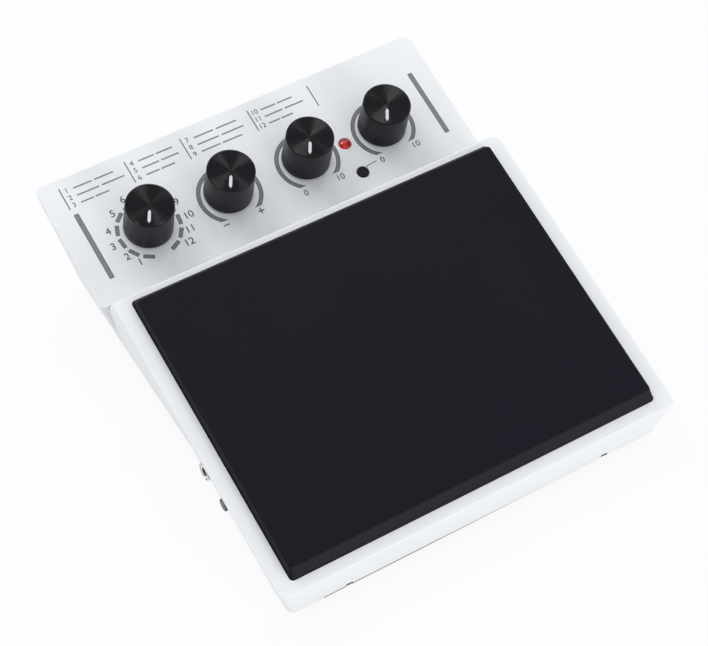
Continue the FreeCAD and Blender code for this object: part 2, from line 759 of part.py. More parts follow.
def wall_cuts():
    """Rear bay and its openings, left socket seat, side screws, notches, pilots."""
    deep = "(4 * sizes.wall)"
    bay = box("bay", "-sizes.bay_half", "sizes.bay_half", BAY, f"{BASE_REAR} + 20",
              "sizes.bay_low", "sizes.bay_high")
    start = f"({BAY_INNER} - 1)"
    jacks = [rod(f"jack_hole_{index}", x, start, JACK_Z,
                 "sizes.jack_bushing + sizes.socket_gap", deep, "y")
             for index, x in enumerate(JACK_PLACES)]
    mini = rod("mini_hole", "-sizes.mini_across", start, MINI_Z,
               "sizes.mini_bushing + sizes.socket_gap", deep, "y")
    usb = opening("usb_hole", "sizes.usb_across", "sizes.usb_width", "sizes.usb_height")
    power = opening("power_hole", "sizes.power_across", "sizes.power_width",
                    "sizes.power_height")
    toggle = box("toggle_hole", *toggle_span("sizes.slider_gap"), start, f"{start} + {deep}",
                 f"{TOGGLE_Z} - sizes.slider_height / 2 - sizes.slider_gap",
                 f"{TOGGLE_Z} + sizes.slider_height / 2 + sizes.slider_gap")
    seat = f"({PHONES_X} - sizes.phones_seat)"
    phones_seat = rod("phones_seat", f"-{seat} - 20", PHONES_Y, PHONES_Z,
                      "sizes.seat_radius", "20", "x")
    phones_hole = rod("phones_hole", f"-{seat} - 1", PHONES_Y, PHONES_Z,
                      "sizes.mini_bushing + sizes.socket_gap", f"1 + {deep}", "x")
    room = "(sizes.mini_width / 2 + sizes.socket_gap)"
    phones_pocket = box("phones_pocket", PHONES_INNER, f"{PHONES_INNER} + sizes.mini_length",
                        f"{PHONES_Y} - {room}", f"{PHONES_Y} + {room}",
                        f"{PHONES_Z} - {room}", f"{PHONES_Z} + {room}")
    cuts = [bay, *jacks, mini, usb, power, toggle, phones_seat, phones_hole, phones_pocket]
    side_seat = f"({SIDE_X} - sizes.side_seat)"
    for name, base, head in (("left", f"-{side_seat} - 20", f"-{side_seat} - 1"),
                             ("right", side_seat, f"{side_seat} - 2 * sizes.wall")):
        cuts.append(rod(f"side_seat_{name}", base, SIDE_Y, SIDE_Z,
                        "sizes.side_head_radius + sizes.socket_gap", "20", "x"))
        cuts.append(rod(f"side_pilot_{name}", head, SIDE_Y, SIDE_Z,
                        "sizes.screw_radius + sizes.screw_play", "1 + 2 * sizes.wall", "x"))
    for name, side in (("left", "-1"), ("right", "1")):
        across = f"({side} * sizes.notch_across)"
        cuts.append(box(f"notch_{name}", f"{across} - sizes.notch_width / 2",
                        f"{across} + sizes.notch_width / 2", f"{BASE_FRONT} - 5",
                        f"{BASE_FRONT} + 2 * sizes.wall", f"{LOW} - 1",
                        f"{LOW} + sizes.notch_height"))
    for index, (x, y, _) in enumerate(case_screw_places()):
        cuts.append(rod(f"boss_pilot_{index}", x, y, f"{PLATE_TOP} - 1",
                        "sizes.screw_radius + sizes.screw_play", "sizes.screw_length + 0.5"))
    return fuse("wall_cuts", *cuts)


def opening(name, across, width, height):
    """Cut-out in the bay for a socket that stands on the board."""
    gap = "sizes.socket_gap"
    return box(name, f"{across} - {width} / 2 - {gap}", f"{across} + {width} / 2 + {gap}",
               f"{BAY_INNER} - 1", f"{BAY_INNER} + 4 * sizes.wall",
               f"{BOARD_TOP} - {gap}", f"{BOARD_TOP} + {height} + {gap}")


TOGGLE_Z = f"({BOARD_TOP} + sizes.toggle_height / 2)"


def toggle_span(gap):
    """Ends across of the slider's whole travel, widened by a gap."""
    reach = f"((sizes.slider_width + sizes.toggle_travel) / 2 + {gap})"
    return f"(sizes.toggle_across - {reach})", f"(sizes.toggle_across + {reach})"


def top_cover():
    """White upper shell with the pad tray, control panel, rear bay and screw bosses."""
    front, rear = front_block(), rear_block()
    shell = cut("shell", fuse("case_outer", front, rear), case_inside())
    border = "sizes.bay_border"
    bay = common("bay_wall", rear,
                 box("bay_block", f"-sizes.bay_half - {border}", f"sizes.bay_half + {border}",
                     BAY_INNER, f"{BASE_REAR} + 20", f"sizes.bay_low - {border}",
                     f"sizes.bay_high + {border}"))
    bosses = [rod(f"case_boss_{index}", x, y, PLATE_TOP, "sizes.boss_radius",
                  f"{top} - {PLATE_TOP}")
              for index, (x, y, top) in enumerate(case_screw_places())]
    posts = on_deck(fuse("panel_posts", *[
        rod(f"panel_post_{index}", x, v, PANEL_BOARD_TOP, "sizes.post_radius",
            "sizes.control_depth + sizes.wall / 2")
        for index, (x, v) in enumerate(panel_post_places())]))
    seats = common("side_seats", front, side_bosses())
    whole = fuse("cover_solid", shell, bay, *bosses, posts, seats)
    return node("top_cover", cut("top_cover", whole, deck_cuts(), wall_cuts()))


# Bottom plate and what fastens it
PLATE_FRONT = f"({BASE_FRONT} + sizes.wall + sizes.plate_gap)"
PLATE_REAR = f"({BASE_REAR} - sizes.wall - sizes.plate_gap)"
PLATE_HALF = f"({BASE_HALF} - sizes.wall - sizes.plate_gap)"
DOOR_LOW = f"({LOW} + sizes.door_sink)"
DOOR_TOP = f"({DOOR_LOW} + sizes.door_gauge)"
RECESS_TOP = f"({DOOR_TOP} + sizes.door_gap)"
DOOR_FRONT = f"({HOLDER_FRONT} + sizes.door_gap)"
DOOR_REAR = f"({HOLDER_REAR} - sizes.door_gap)"
DOOR_HALF = "sizes.door_half"
SLOT_HALF = "(sizes.door_half - sizes.ledge_side + sizes.door_gap)"
HOOK_PLACES = [f"({DOOR_FRONT} + sizes.hook_first + sizes.hook_pitch * {step})" for step in (0, 1)]


def foot_places():
    """Name, across and Y of the four feet."""
    front, rear = f"({BASE_FRONT} + sizes.foot_front)", f"({BASE_REAR} - sizes.foot_rear)"
    return [(f"foot_{along}_{side}", f"({sign} * sizes.foot_across)", y)
            for along, y in (("front", front), ("rear", rear))
            for side, sign in (("left", "-1"), ("right", "1"))]


def insert_places():
    """Across and Y of the four threaded inserts."""
    return [(f"({x} * sizes.insert_across)", f"(sizes.insert_middle + {y} * sizes.insert_along)")
            for x in (-0.5, 0.5) for y in (-0.5, 0.5)]


def board_post_places():
    """Across and Y of the posts under the two lower boards."""
    outer = f"({BOARD_HALF} - 1.5 * sizes.post_radius)"
    rows = [f"({MAIN_FRONT} + 1.5 * sizes.post_radius)",
            f"({MAIN_REAR} - 1.5 * sizes.post_radius)",
            f"({JACK_BOARD_FRONT} + 1.5 * sizes.post_radius)"]
    return [(f"({side} * {outer})", y) for y in rows for side in (-1, 1)]


def bottom_plate():
    """Black plate inside the lower edge, with bosses, door recess and screw holes."""
    corner = "sizes.plate_corner"
    plate = slab("plate", rounded(PLATE_HALF, PLATE_FRONT, PLATE_REAR, corner, corner),
                 LOW, "sizes.plate_thickness")
    posts = [rod(f"board_post_{index}", x, y, f"{PLATE_TOP} - 1", "sizes.post_radius",
                 "sizes.board_rise + 1") for index, (x, y) in enumerate(board_post_places())]
    bosses = [rod(f"insert_boss_{index}", x, y, f"{PLATE_TOP} - 1", "sizes.insert_boss",
                  "sizes.insert_length - sizes.plate_thickness + 3")
              for index, (x, y) in enumerate(insert_places())]
    pilots = [rod(f"board_pilot_{index}", x, y, f"{BOARD_LOW} - sizes.pilot_depth",
                  "sizes.pilot_radius", "sizes.pilot_depth + 1")
              for index, (x, y) in enumerate(board_post_places())]
    inserts = [rod(f"insert_hole_{index}", x, y, LOW, "sizes.insert_radius",
                   "sizes.insert_length") for index, (x, y) in enumerate(insert_places())]
    feet = [rod(f"foot_seat_{index}", x, y, LOW, "sizes.foot_radius + sizes.socket_gap",
                "sizes.foot_sink") for index, (_, x, y) in enumerate(foot_places())]
    screws = []
    for index, (x, y, _) in enumerate(case_screw_places()):
        screws.append(rod(f"screw_hole_{index}", x, y, LOW, "sizes.screw_radius + sizes.socket_gap",
                          "sizes.plate_thickness"))
        screws.append(rod(f"screw_seat_{index}", x, y, LOW, "sizes.head_radius + sizes.head_gap",
                          "sizes.head_height + sizes.door_sink"))
    gap = "sizes.door_gap"
    recess = box("door_recess", f"-{DOOR_HALF} - {gap}", f"{DOOR_HALF} + {gap}",
                 f"{DOOR_FRONT} - {gap}", f"{DOOR_REAR} + {gap} + sizes.door_travel", LOW,
                 RECESS_TOP)
    slot = box("cell_slot", f"-{SLOT_HALF}", SLOT_HALF, f"{DOOR_FRONT} + sizes.ledge_side",
               f"{DOOR_REAR} - sizes.ledge_side", LOW, PLATE_TOP)
    notches = [box(f"hook_notch_{index}", f"-{HOOK_REACH} - {gap}", f"{HOOK_REACH} + {gap}",
                   f"{y} + sizes.door_travel - {gap}",
                   f"{y} + sizes.door_travel + sizes.hook_length + {gap}", RECESS_TOP, PLATE_TOP)
               for index, y in enumerate(HOOK_PLACES)]
    return node("bottom_plate", cut("bottom_plate", fuse("plate_solid", plate, *posts, *bosses),
                                    *pilots, *inserts, *feet, *screws, recess, slot, *notches))


HOOK_REACH = f"({SLOT_HALF} - sizes.door_gap + sizes.hook_reach)"


def feet():
    """Four round rubber feet let into the plate."""
    top = f"({LOW} + sizes.foot_sink)"
    low = "(sizes.foot_radius - sizes.foot_chamfer)"
    for name, x, y in foot_places():
        foot = turned(name, [("0", "0"), (low, "0"), ("sizes.foot_radius", "sizes.foot_chamfer"),
                             ("sizes.foot_radius", top), ("0", top)])
        node(name, place(foot, x, y))


def screw(name, x, y, z, head, height, radius, length, driver):
    """Pan-head screw pointing up, its head's underside at z, with a crossed recess."""
    shank = rod(f"{name}_shank", x, y, z, radius, length)
    cap = rod(f"{name}_head", x, y, f"{z} - {height}", head, height)
    deep = f"({height} / 2)"
    bars = [box(f"{name}_bar_{turn}", f"{x} - {half_x}", f"{x} + {half_x}", f"{y} - {half_y}",
                f"{y} + {half_y}", f"{z} - {height}", f"{z} - {height} + {deep}")
            for turn, (half_x, half_y) in enumerate(((driver, f"{driver} / 4"),
                                                     (f"{driver} / 4", driver)))]
    return cut(name, fuse(f"{name}_solid", shank, cap), *bars)


def case_screws():
    """Six screws from below into the cover's bosses."""
    seat = f"({LOW} + sizes.head_height + sizes.door_sink)"
    screws = [screw(f"case_screw_{index}", x, y, seat, "sizes.head_radius", "sizes.head_height",
                    "sizes.screw_radius", "sizes.screw_length", "sizes.head_radius * 0.6")
              for index, (x, y, _) in enumerate(case_screw_places())]
    node("case_screws", fuse("case_screws", *screws))


def clamp_inserts():
    """Four brass threaded sleeves, open to below, for a stand clamp."""
    sleeves = [cut(f"insert_{index}",
                   rod(f"insert_body_{index}", x, y, LOW, "sizes.insert_radius",
                       "sizes.insert_length"),
                   rod(f"insert_bore_{index}", x, y, LOW, "sizes.insert_bore",
                       "sizes.insert_length"))
               for index, (x, y) in enumerate(insert_places())]
    node("clamp_inserts", fuse("clamp_inserts", *sleeves))


def side_screws():
    """One round-headed screw in each side wall."""
    seat = f"({SIDE_X} - sizes.side_seat)"
    length = "(2 * sizes.wall)"
    head = "(sizes.side_seat + sizes.side_head_proud)"
    left = fuse("side_screw_left",
                rod("side_head_left", f"-{seat} - {head}", SIDE_Y, SIDE_Z,
                    "sizes.side_head_radius", head, "x"),
                rod("side_shank_left", f"-{seat}", SIDE_Y, SIDE_Z, "sizes.screw_radius",
                    length, "x"))
    right = fuse("side_screw_right",
                 rod("side_head_right", seat, SIDE_Y, SIDE_Z, "sizes.side_head_radius",
                     head, "x"),
                 rod("side_shank_right", f"{seat} - {length}", SIDE_Y, SIDE_Z,
                     "sizes.screw_radius", length, "x"))
    node("side_screws", fuse("side_screws", left, right))


# Playing pad
def playing_pad():
    """Rubber pad with bevelled edges over its steel plate, foam and sensor."""
    half = "(sizes.pad_width / 2)"
    corner = "sizes.pad_corner"
    rubber = body_of("pad_rubber")
    outline = sketch(rubber, "rubber_outline", rounded(half, "0", "sizes.pad_length", corner,
                                                       corner), lift="-sizes.pad_sink")
    pad(rubber, "rubber_sheet", outline, "sizes.pad_sink")
    doc.recompute()
    foot = sketch(rubber, "rubber_foot", rounded(half, "0", "sizes.pad_length", corner, corner))
    crown = sketch(rubber, "rubber_crown",
                   rounded(f"({half} - sizes.bevel_side)", "sizes.bevel_front",
                           "(sizes.pad_length - sizes.bevel_rear)", corner, corner),
                   lift="sizes.pad_rise")
    loft(rubber, "rubber_bevel", foot, crown)
    node("pad_rubber", on_deck(rubber))
    low = "(-sizes.pad_sink - sizes.plate_gauge)"
    node("pad_plate", on_deck(slab("pad_plate", rounded(
        f"({half} - sizes.plate_border)", "sizes.plate_border",
        "(sizes.pad_length - sizes.plate_border)", corner, corner), low, "sizes.plate_gauge")))
    middle = "(sizes.pad_length / 2)"
    depth = "(sizes.recess_depth - sizes.pad_sink - sizes.plate_gauge)"
    foam = slab("foam_sheet", rounded(f"({half} - sizes.foam_border)", "sizes.foam_border",
                                      "(sizes.pad_length - sizes.foam_border)", corner,
                                      corner), TRAY, depth)
    node("pad_foam", on_deck(cut("pad_foam", foam, rod("sensor_room", "0", middle, TRAY,
                                                       "sizes.sensor_room", depth))))
    disc_low = f"({low} - sizes.sensor_gauge)"
    node("sensor_disc", on_deck(slab_round("sensor_disc", "0", middle, disc_low,
                                           "sizes.sensor_radius", "sizes.sensor_gauge")))
    node("sensor_cushion", on_deck(slab_round("sensor_cushion", "0", middle, TRAY,
                                              "sizes.cushion_radius",
                                              f"{depth} - sizes.sensor_gauge")))


def slab_round(name, x, y, z0, radius, thickness):
    """Flat disc."""
    body = body_of(name)
    pad(body, f"{name}_pad", ring(body, f"{name}_outline", x, y, radius, lift=z0), thickness)
    return body


LANDING_W = (f"(({BOARD_TOP} + sizes.plug_height - sizes.deck_height"
             f" - {LEAD_LANDING} * sin(sizes.tilt)) / cos(sizes.tilt))")


def sensor_lead():
    """Lead from the sensor through the tray, along under it and down to its plug."""
    start = "(-sizes.pad_sink - sizes.plate_gauge - sizes.sensor_gauge)"
    run = f"({SLAB} - sizes.lead_drop)"
    bend = "sizes.lead_bend"
    route = [(LEAD_V, start), (LEAD_V, f"{run} + {bend}", bend), (f"{LEAD_V} + {bend}", run),
             (f"{LEAD_LANDING} - {bend}", run, f"-{bend}"),
             (LEAD_LANDING, f"{run} - {bend}"), (LEAD_LANDING, LANDING_W)]
    body = body_of("sensor_lead")
    path = sketch(body, "lead_path", route, plane="YZ_Plane", closed=False)
    section = ring(body, "lead_section", "0", LEAD_V, "sizes.lead_radius", lift=start)
    doc.recompute()
    run_feature = body.newObject("PartDesign::AdditivePipe", "lead_run")
    run_feature.Profile = section
    run_feature.Spine = (path, [f"Edge{index}" for index in range(1, len(route))])
    node("sensor_lead", on_deck(body))


# Rotary controls
def control_bodies():
    """Four rotary controls, each a case with a threaded neck, and their nuts."""
    nuts = []
    cavity_top = f"({PANEL_UNDER} - sizes.control_roof)"
    cavity_low = f"({cavity_top} - sizes.rotor_gauge - 2 * sizes.rotor_gap)"
    bore = "(sizes.shaft_radius + sizes.shaft_play)"
    for name, x in zip(CONTROL_NAMES, KNOB_PLACES):
        half, long = "sizes.control_width / 2", "sizes.control_length / 2"
        case = box(f"{name}_case", f"{x} - {half}", f"{x} + {half}", f"{KNOB_V} - {long}",
                   f"{KNOB_V} + {long}", PANEL_BOARD_TOP, PANEL_UNDER)
        neck = rod(f"{name}_neck", x, KNOB_V, f"{PANEL_UNDER} - 1", "sizes.bushing_radius",
                   "1 + sizes.wall + sizes.bushing_proud")
        hole = rod(f"{name}_bore", x, KNOB_V, cavity_low, bore,
                   f"{PANEL} + sizes.bushing_proud + 1 - {cavity_low}")
        room = rod(f"{name}_room", x, KNOB_V, cavity_low, "sizes.rotor_radius + sizes.rotor_gap",
                   f"{cavity_top} - {cavity_low}")
        body = cut(f"{name}_control", fuse(f"{name}_solid", case, neck), hole, room)
        node(f"{name}_control", on_deck(body))
        outer = hexagon(f"{name}_nut_outer", x, KNOB_V, PANEL, "sizes.nut_radius",
                        "sizes.nut_height")
        inner = rod(f"{name}_nut_inner", x, KNOB_V, PANEL, "sizes.bushing_radius + 0.05",
                    "sizes.nut_height")
        nuts.append(cut(f"{name}_nut", outer, inner))
        shaft(name, x, f"({cavity_low} + sizes.rotor_gap)")
    node("control_nuts", on_deck(fuse("control_nuts", *nuts)))


KNOB_LOW = "(-sizes.step_drop + sizes.knob_gap)"
SHAFT_TOP = f"({KNOB_LOW} + sizes.knob_height - sizes.knob_roof - 0.2)"


def shaft(name, x, low):
    """Shaft with a rotor disc at its foot and a flat at its top."""
    bar = rod(f"{name}_bar", x, KNOB_V, low, "sizes.shaft_radius", f"{SHAFT_TOP} - {low}")
    rotor = rod(f"{name}_rotor", x, KNOB_V, low, "sizes.rotor_radius", "sizes.rotor_gauge")
    flat = box(f"{name}_flat", f"{x} + sizes.flat_depth", f"{x} + 2 * sizes.shaft_radius",
               f"{KNOB_V} - 2 * sizes.shaft_radius", f"{KNOB_V} + 2 * sizes.shaft_radius",
               f"{SHAFT_TOP} - sizes.flat_length", f"{SHAFT_TOP} + 1")
    node(f"{name}_shaft", on_deck(cut(f"{name}_shaft", fuse(f"{name}_shaft_solid", bar, rotor),
                                      flat)))


def pointer_points():
    """Long six-sided mark from near the middle to near the rim."""
    half, tip = "sizes.pointer_width / 2", "sizes.pointer_tip"
    return [("0", "sizes.pointer_start"), (half, f"sizes.pointer_start + {tip}"),
            (half, f"sizes.pointer_end - {tip}"), ("0", "sizes.pointer_end"),
            (f"-{half}", f"sizes.pointer_end - {tip}"),
            (f"-{half}", f"sizes.pointer_start + {tip}")]


def knobs():
    """Four smooth round knobs, hollow below, each with a pale pointer let in."""
    top, round_ = "sizes.knob_height", "sizes.knob_round"
    top_radius = "(sizes.knob_radius - sizes.knob_taper)"
    inner = "(sizes.knob_radius - sizes.knob_wall)"
    roof = "(sizes.knob_height - sizes.knob_roof)"
    bore = "(sizes.shaft_radius + 0.02)"
    hub_low = "(sizes.bushing_proud - sizes.knob_gap + 0.6)"
    side = f"({top_radius} + sizes.knob_taper * {round_} / {top})"
    section = [(inner, "0"), ("sizes.knob_radius", "0"), (side, f"{top} - {round_}", round_),
               (f"{side} - {round_}", top), ("0", top), ("0", roof), (bore, roof),
               (bore, hub_low), ("sizes.hub_radius", hub_low), ("sizes.hub_radius", roof),
               (inner, roof)]
    for name, x in zip(CONTROL_NAMES, KNOB_PLACES):
        knob = turned(f"{name}_knob", section)
        doc.recompute()
        groove = sketch(knob, f"{name}_groove", pointer_points(), lift=top,
                        turn="sizes.rest_turn")
        pocket(knob, f"{name}_pocket", groove, "sizes.pointer_depth")
        mark = body_of(f"{name}_pointer")
        outline = sketch(mark, f"{name}_mark", pointer_points(),
                         lift=f"{top} - sizes.pointer_depth", turn="sizes.rest_turn")
        pad(mark, f"{name}_mark_pad", outline, "sizes.pointer_depth + sizes.pointer_proud")
        for piece in (knob, mark):
            place(piece, x, deck_y(KNOB_V, KNOB_LOW), deck_z(KNOB_V, KNOB_LOW), "sizes.tilt")
        node(f"{name}_knob", knob)
        node(f"{name}_pointer", mark)


def lamp_and_button():
    """Round red lamp, and a push button over its switch."""
    x = "sizes.lamp_across"
    radius, proud = "sizes.lamp_radius", "sizes.lamp_proud"
    high = f"(-{PANEL_BOARD_TOP} - sizes.step_drop + {proud})"
    edge = f"({high} - sizes.lamp_bulge + sqrt(sizes.lamp_bulge ^ 2 - {radius} ^ 2))"
    lamp = turned("lamp", [("0", "0"), (radius, "0"), (radius, edge, "sizes.lamp_bulge"),
                           ("0", high)])
    node("lamp", place(lamp, x, deck_y(LAMP_V, PANEL_BOARD_TOP),
                       deck_z(LAMP_V, PANEL_BOARD_TOP), "sizes.tilt"))
    lip = f"(sizes.button_radius + sizes.button_lip)"
    top = "(sizes.button_proud + sizes.wall + sizes.lip_gap + sizes.lip_gauge)"
    round_ = "sizes.button_round"
    cap = turned("select_button", [
        ("0", "0"), (lip, "0"), (lip, "sizes.lip_gauge"),
        ("sizes.button_radius", "sizes.lip_gauge"),
        ("sizes.button_radius", f"{top} - {round_}", round_),
        (f"sizes.button_radius - {round_}", top), ("0", top)])
    node("select_button", place(cap, x, deck_y(BUTTON_V, CAP_LOW), deck_z(BUTTON_V, CAP_LOW),
                                "sizes.tilt"))
    switch_top = f"({PANEL_BOARD_TOP} + sizes.switch_height)"
    sink = "sizes.plunger_sink"
    node("switch_plunger", on_deck(slab_round(
        "switch_plunger", x, BUTTON_V, f"{switch_top} - {sink}", "sizes.plunger_radius",
        f"{CAP_LOW} - {switch_top} + {sink}")))
    half = "sizes.switch_width / 2"
    body = box("switch_body", f"{x} - {half}", f"{x} + {half}", f"{BUTTON_V} - {half}",
               f"{BUTTON_V} + {half}", PANEL_BOARD_TOP, switch_top)
    hole = rod("switch_hole", x, BUTTON_V,
               f"{switch_top} - {sink} - sizes.button_travel - sizes.lip_gap",
               "sizes.plunger_radius + sizes.plunger_play", "3 * sizes.switch_height")
    node("button_switch", on_deck(cut("button_switch", body, hole)))


CAP_LOW = f"({PANEL_UNDER} - sizes.lip_gap - sizes.lip_gauge)"


# Circuit boards
RIBBON_W = f"({PANEL_BOARD_LOW} - sizes.plug_height / 2)"
RIBBON_V = f"({PANEL_BOARD_FRONT} + sizes.plug_length / 4)"
RIBBON_TURN = f"({RIBBON_V} - sizes.ribbon_run)"
RIBBON_BEND = (f"(({deck_z(RIBBON_TURN, RIBBON_W)} - {BOARD_TOP} - sizes.plug_height / 2)"
               " / (1 + cos(sizes.tilt)))")
RIBBON_END = deck_y(f"({RIBBON_TURN} - {RIBBON_BEND} * sin(sizes.tilt))",
                    f"({RIBBON_W} - {RIBBON_BEND} - {RIBBON_BEND} * cos(sizes.tilt))")
RIBBON_TAIL = "1"


def panel_board():
    """Board under the control panel, with the ribbon's socket below it."""
    board = box("panel_board_sheet", f"-{PANEL_BOARD_HALF}", PANEL_BOARD_HALF,
                PANEL_BOARD_FRONT, PANEL_BOARD_REAR, PANEL_BOARD_LOW, PANEL_BOARD_TOP)
    half = "(sizes.ribbon_width / 2 + 1)"
    plug = box("panel_plug", f"-sizes.ribbon_across - {half}", f"-sizes.ribbon_across + {half}",
               RIBBON_V, f"{RIBBON_V} + sizes.plug_length",
               f"{PANEL_BOARD_LOW} - sizes.plug_height", PANEL_BOARD_LOW)
    holes = [rod(f"panel_hole_{index}", x, v, f"{PANEL_BOARD_LOW} - 1",
                 "sizes.pilot_radius + sizes.socket_gap", "sizes.board_gauge + 2")
             for index, (x, v) in enumerate(panel_post_places())]
    node("panel_board", on_deck(cut("panel_board", fuse("panel_board_solid", board, plug),
                                    *holes)))


def ribbon():
    """Flat ribbon cable folded once between the panel board and the main board."""
    run, rise, bend = RIBBON_TURN, RIBBON_W, RIBBON_BEND
    half = "(sizes.ribbon_gauge / 2)"

    def after_bend(radius, tail="0"):
        return (f"({run} - {radius} * sin(sizes.tilt) + {tail} * cos(sizes.tilt))",
                f"({rise} - {bend} - {radius} * cos(sizes.tilt) - {tail} * sin(sizes.tilt))")

    outer, inner = f"({bend} + {half})", f"({bend} - {half})"
    profile = [(RIBBON_V, f"{rise} + {half}"), (run, f"{rise} + {half}", outer),
               after_bend(outer), after_bend(outer, RIBBON_TAIL),
               after_bend(inner, RIBBON_TAIL), (*after_bend(inner), f"-{inner}"),
               (run, f"{rise} - {half}"), (RIBBON_V, f"{rise} - {half}")]
    body = body_of("ribbon_cable")
    band = sketch(body, "ribbon_profile", profile, plane="YZ_Plane",
                  lift="-sizes.ribbon_across - sizes.ribbon_width / 2")
    pad(body, "ribbon_pad", band, "sizes.ribbon_width")
    node("ribbon_cable", on_deck(body))


def chip(name, x, y, width, length):
    """Flat chip on the main board."""
    return box(name, f"{x} - {width} / 2", f"{x} + {width} / 2", f"{y} - {length} / 2",
               f"{y} + {length} / 2", BOARD_TOP, f"{BOARD_TOP} + sizes.processor_height")


def lower_boards():
    """Main board and jack board on the plate's posts, with their larger parts."""
    main = box("main_sheet", f"-{BOARD_HALF}", BOARD_HALF, MAIN_FRONT, MAIN_REAR, BOARD_LOW,
               BOARD_TOP)
    width = "(sizes.ribbon_width / 2 + 1)"
    plug_front = f"({RIBBON_END} + {RIBBON_TAIL})"
    ribbon_plug = box("main_plug", f"-sizes.ribbon_across - {width}",
                      f"-sizes.ribbon_across + {width}", plug_front,
                      f"{plug_front} + sizes.plug_height", BOARD_TOP,
                      f"{BOARD_TOP} + sizes.plug_height")
    landing = deck_y(LEAD_LANDING, LANDING_W)
    reach = "sizes.plug_length / 2"
    lead_plug = box("lead_plug", f"-{reach}", reach, f"{landing} - {reach}",
                    f"{landing} + {reach}", BOARD_TOP, f"{BOARD_TOP} + sizes.plug_height")
    middle = f"({MAIN_FRONT} + sizes.main_length / 2)"
    chips = [chip("processor", "sizes.processor_across", middle, "sizes.processor_width",
                  "sizes.processor_width"),
             chip("memory", "sizes.memory_across", middle, "sizes.memory_width",
                  "sizes.memory_length")]
    cans = [rod(f"can_{index}", across, middle, BOARD_TOP, "sizes.can_radius",
                "sizes.can_height")
            for index, across in enumerate(("sizes.can_across", "-sizes.can_across",
                                            "-sizes.can_across + sizes.can_pitch"))]
    holes = [rod(f"board_hole_{index}", x, y, f"{BOARD_LOW} - 1",
                 "sizes.pilot_radius + sizes.socket_gap", "sizes.board_gauge + 2")
             for index, (x, y) in enumerate(board_post_places())]
    node("main_board", cut("main_board", fuse("main_solid", main, ribbon_plug, lead_plug,
                                              *chips, *cans), *holes[:4]))
    jack = box("jack_sheet", f"-{BOARD_HALF}", BOARD_HALF, JACK_BOARD_FRONT,
               f"{BAY_INNER} - 0.3", BOARD_LOW, BOARD_TOP)
    node("jack_board", cut("jack_board", jack, *holes[4:]))


def board_screws():
    """Small screws through the boards into their posts."""
    head, height = "sizes.small_head_radius", "sizes.small_head_height"
    radius, length = "sizes.pilot_radius", "sizes.pilot_depth - 0.4 + sizes.board_gauge"
    low = []
    for index, (x, y) in enumerate(board_post_places()):
        shank = rod(f"board_shank_{index}", x, y, f"{BOARD_TOP} - ({length})", radius, length)
        cap = rod(f"board_head_{index}", x, y, BOARD_TOP, head, height)
        low.append(fuse(f"board_screw_{index}", shank, cap))
    high = []
    for index, (x, v) in enumerate(panel_post_places()):
        shank = rod(f"panel_shank_{index}", x, v, PANEL_BOARD_LOW, radius, length)
        cap = rod(f"panel_head_{index}", x, v, f"{PANEL_BOARD_LOW} - {height}", head, height)
        high.append(fuse(f"panel_screw_{index}", shank, cap))
    node("board_screws", fuse("board_screws", *low, on_deck(fuse("panel_screws", *high))))


# Sockets and power switch
def panel_jack(name, x, z, width, height, length, neck, bore, floor, proud):
    """Jack whose threaded neck passes the bay wall, bored from the front of the neck."""
    case = box(f"{name}_case", f"{x} - {width} / 2", f"{x} + {width} / 2",
               f"{BAY_INNER} - {length}", BAY_INNER, f"{z} - {height} / 2",
               f"{z} + {height} / 2")
    collar = rod(f"{name}_neck", x, f"{BAY_INNER} - 1", z, neck,
                 f"1 + sizes.wall + {proud}", "y")
    hole = rod(f"{name}_bore", x, f"{BAY_INNER} - {length} + {floor}", z, bore,
               f"{length} - {floor} + sizes.wall + {proud} + 1", "y")
    return node(name, cut(name, fuse(f"{name}_solid", case, collar), hole))


def rear_jacks():
    """Three large jacks, one small jack and their nuts."""
    nuts = []
    for name, x in zip(JACK_NAMES, JACK_PLACES):
        panel_jack(name, x, JACK_Z, "sizes.jack_width", "sizes.jack_height",
                   "sizes.jack_length", "sizes.jack_bushing", "sizes.jack_bore",
                   "sizes.jack_floor", "sizes.jack_proud")
        outer = hexagon(f"{name}_nut_outer", x, BAY, JACK_Z, "sizes.jack_nut_radius",
                        "sizes.jack_nut_height", "y")
        inner = rod(f"{name}_nut_inner", x, BAY, JACK_Z, "sizes.jack_bushing + 0.05",
                    "sizes.jack_nut_height", "y")
        nuts.append(cut(f"{name}_nut", outer, inner))
    x = "(-sizes.mini_across)"
    panel_jack("mix_jack", x, MINI_Z, "sizes.mini_width", "sizes.mini_width",
               "sizes.mini_length", "sizes.mini_bushing", "sizes.mini_bore",
               "sizes.mini_floor", "sizes.mini_proud")
    nuts.append(cut("mix_nut", rod("mix_nut_outer", x, BAY, MINI_Z, "sizes.mini_nut_radius",
                                   "sizes.mini_nut_height", "y"),
                    rod("mix_nut_inner", x, BAY, MINI_Z, "sizes.mini_bushing + 0.05",
                        "sizes.mini_nut_height", "y")))
    node("jack_nuts", fuse("jack_nuts", *nuts))


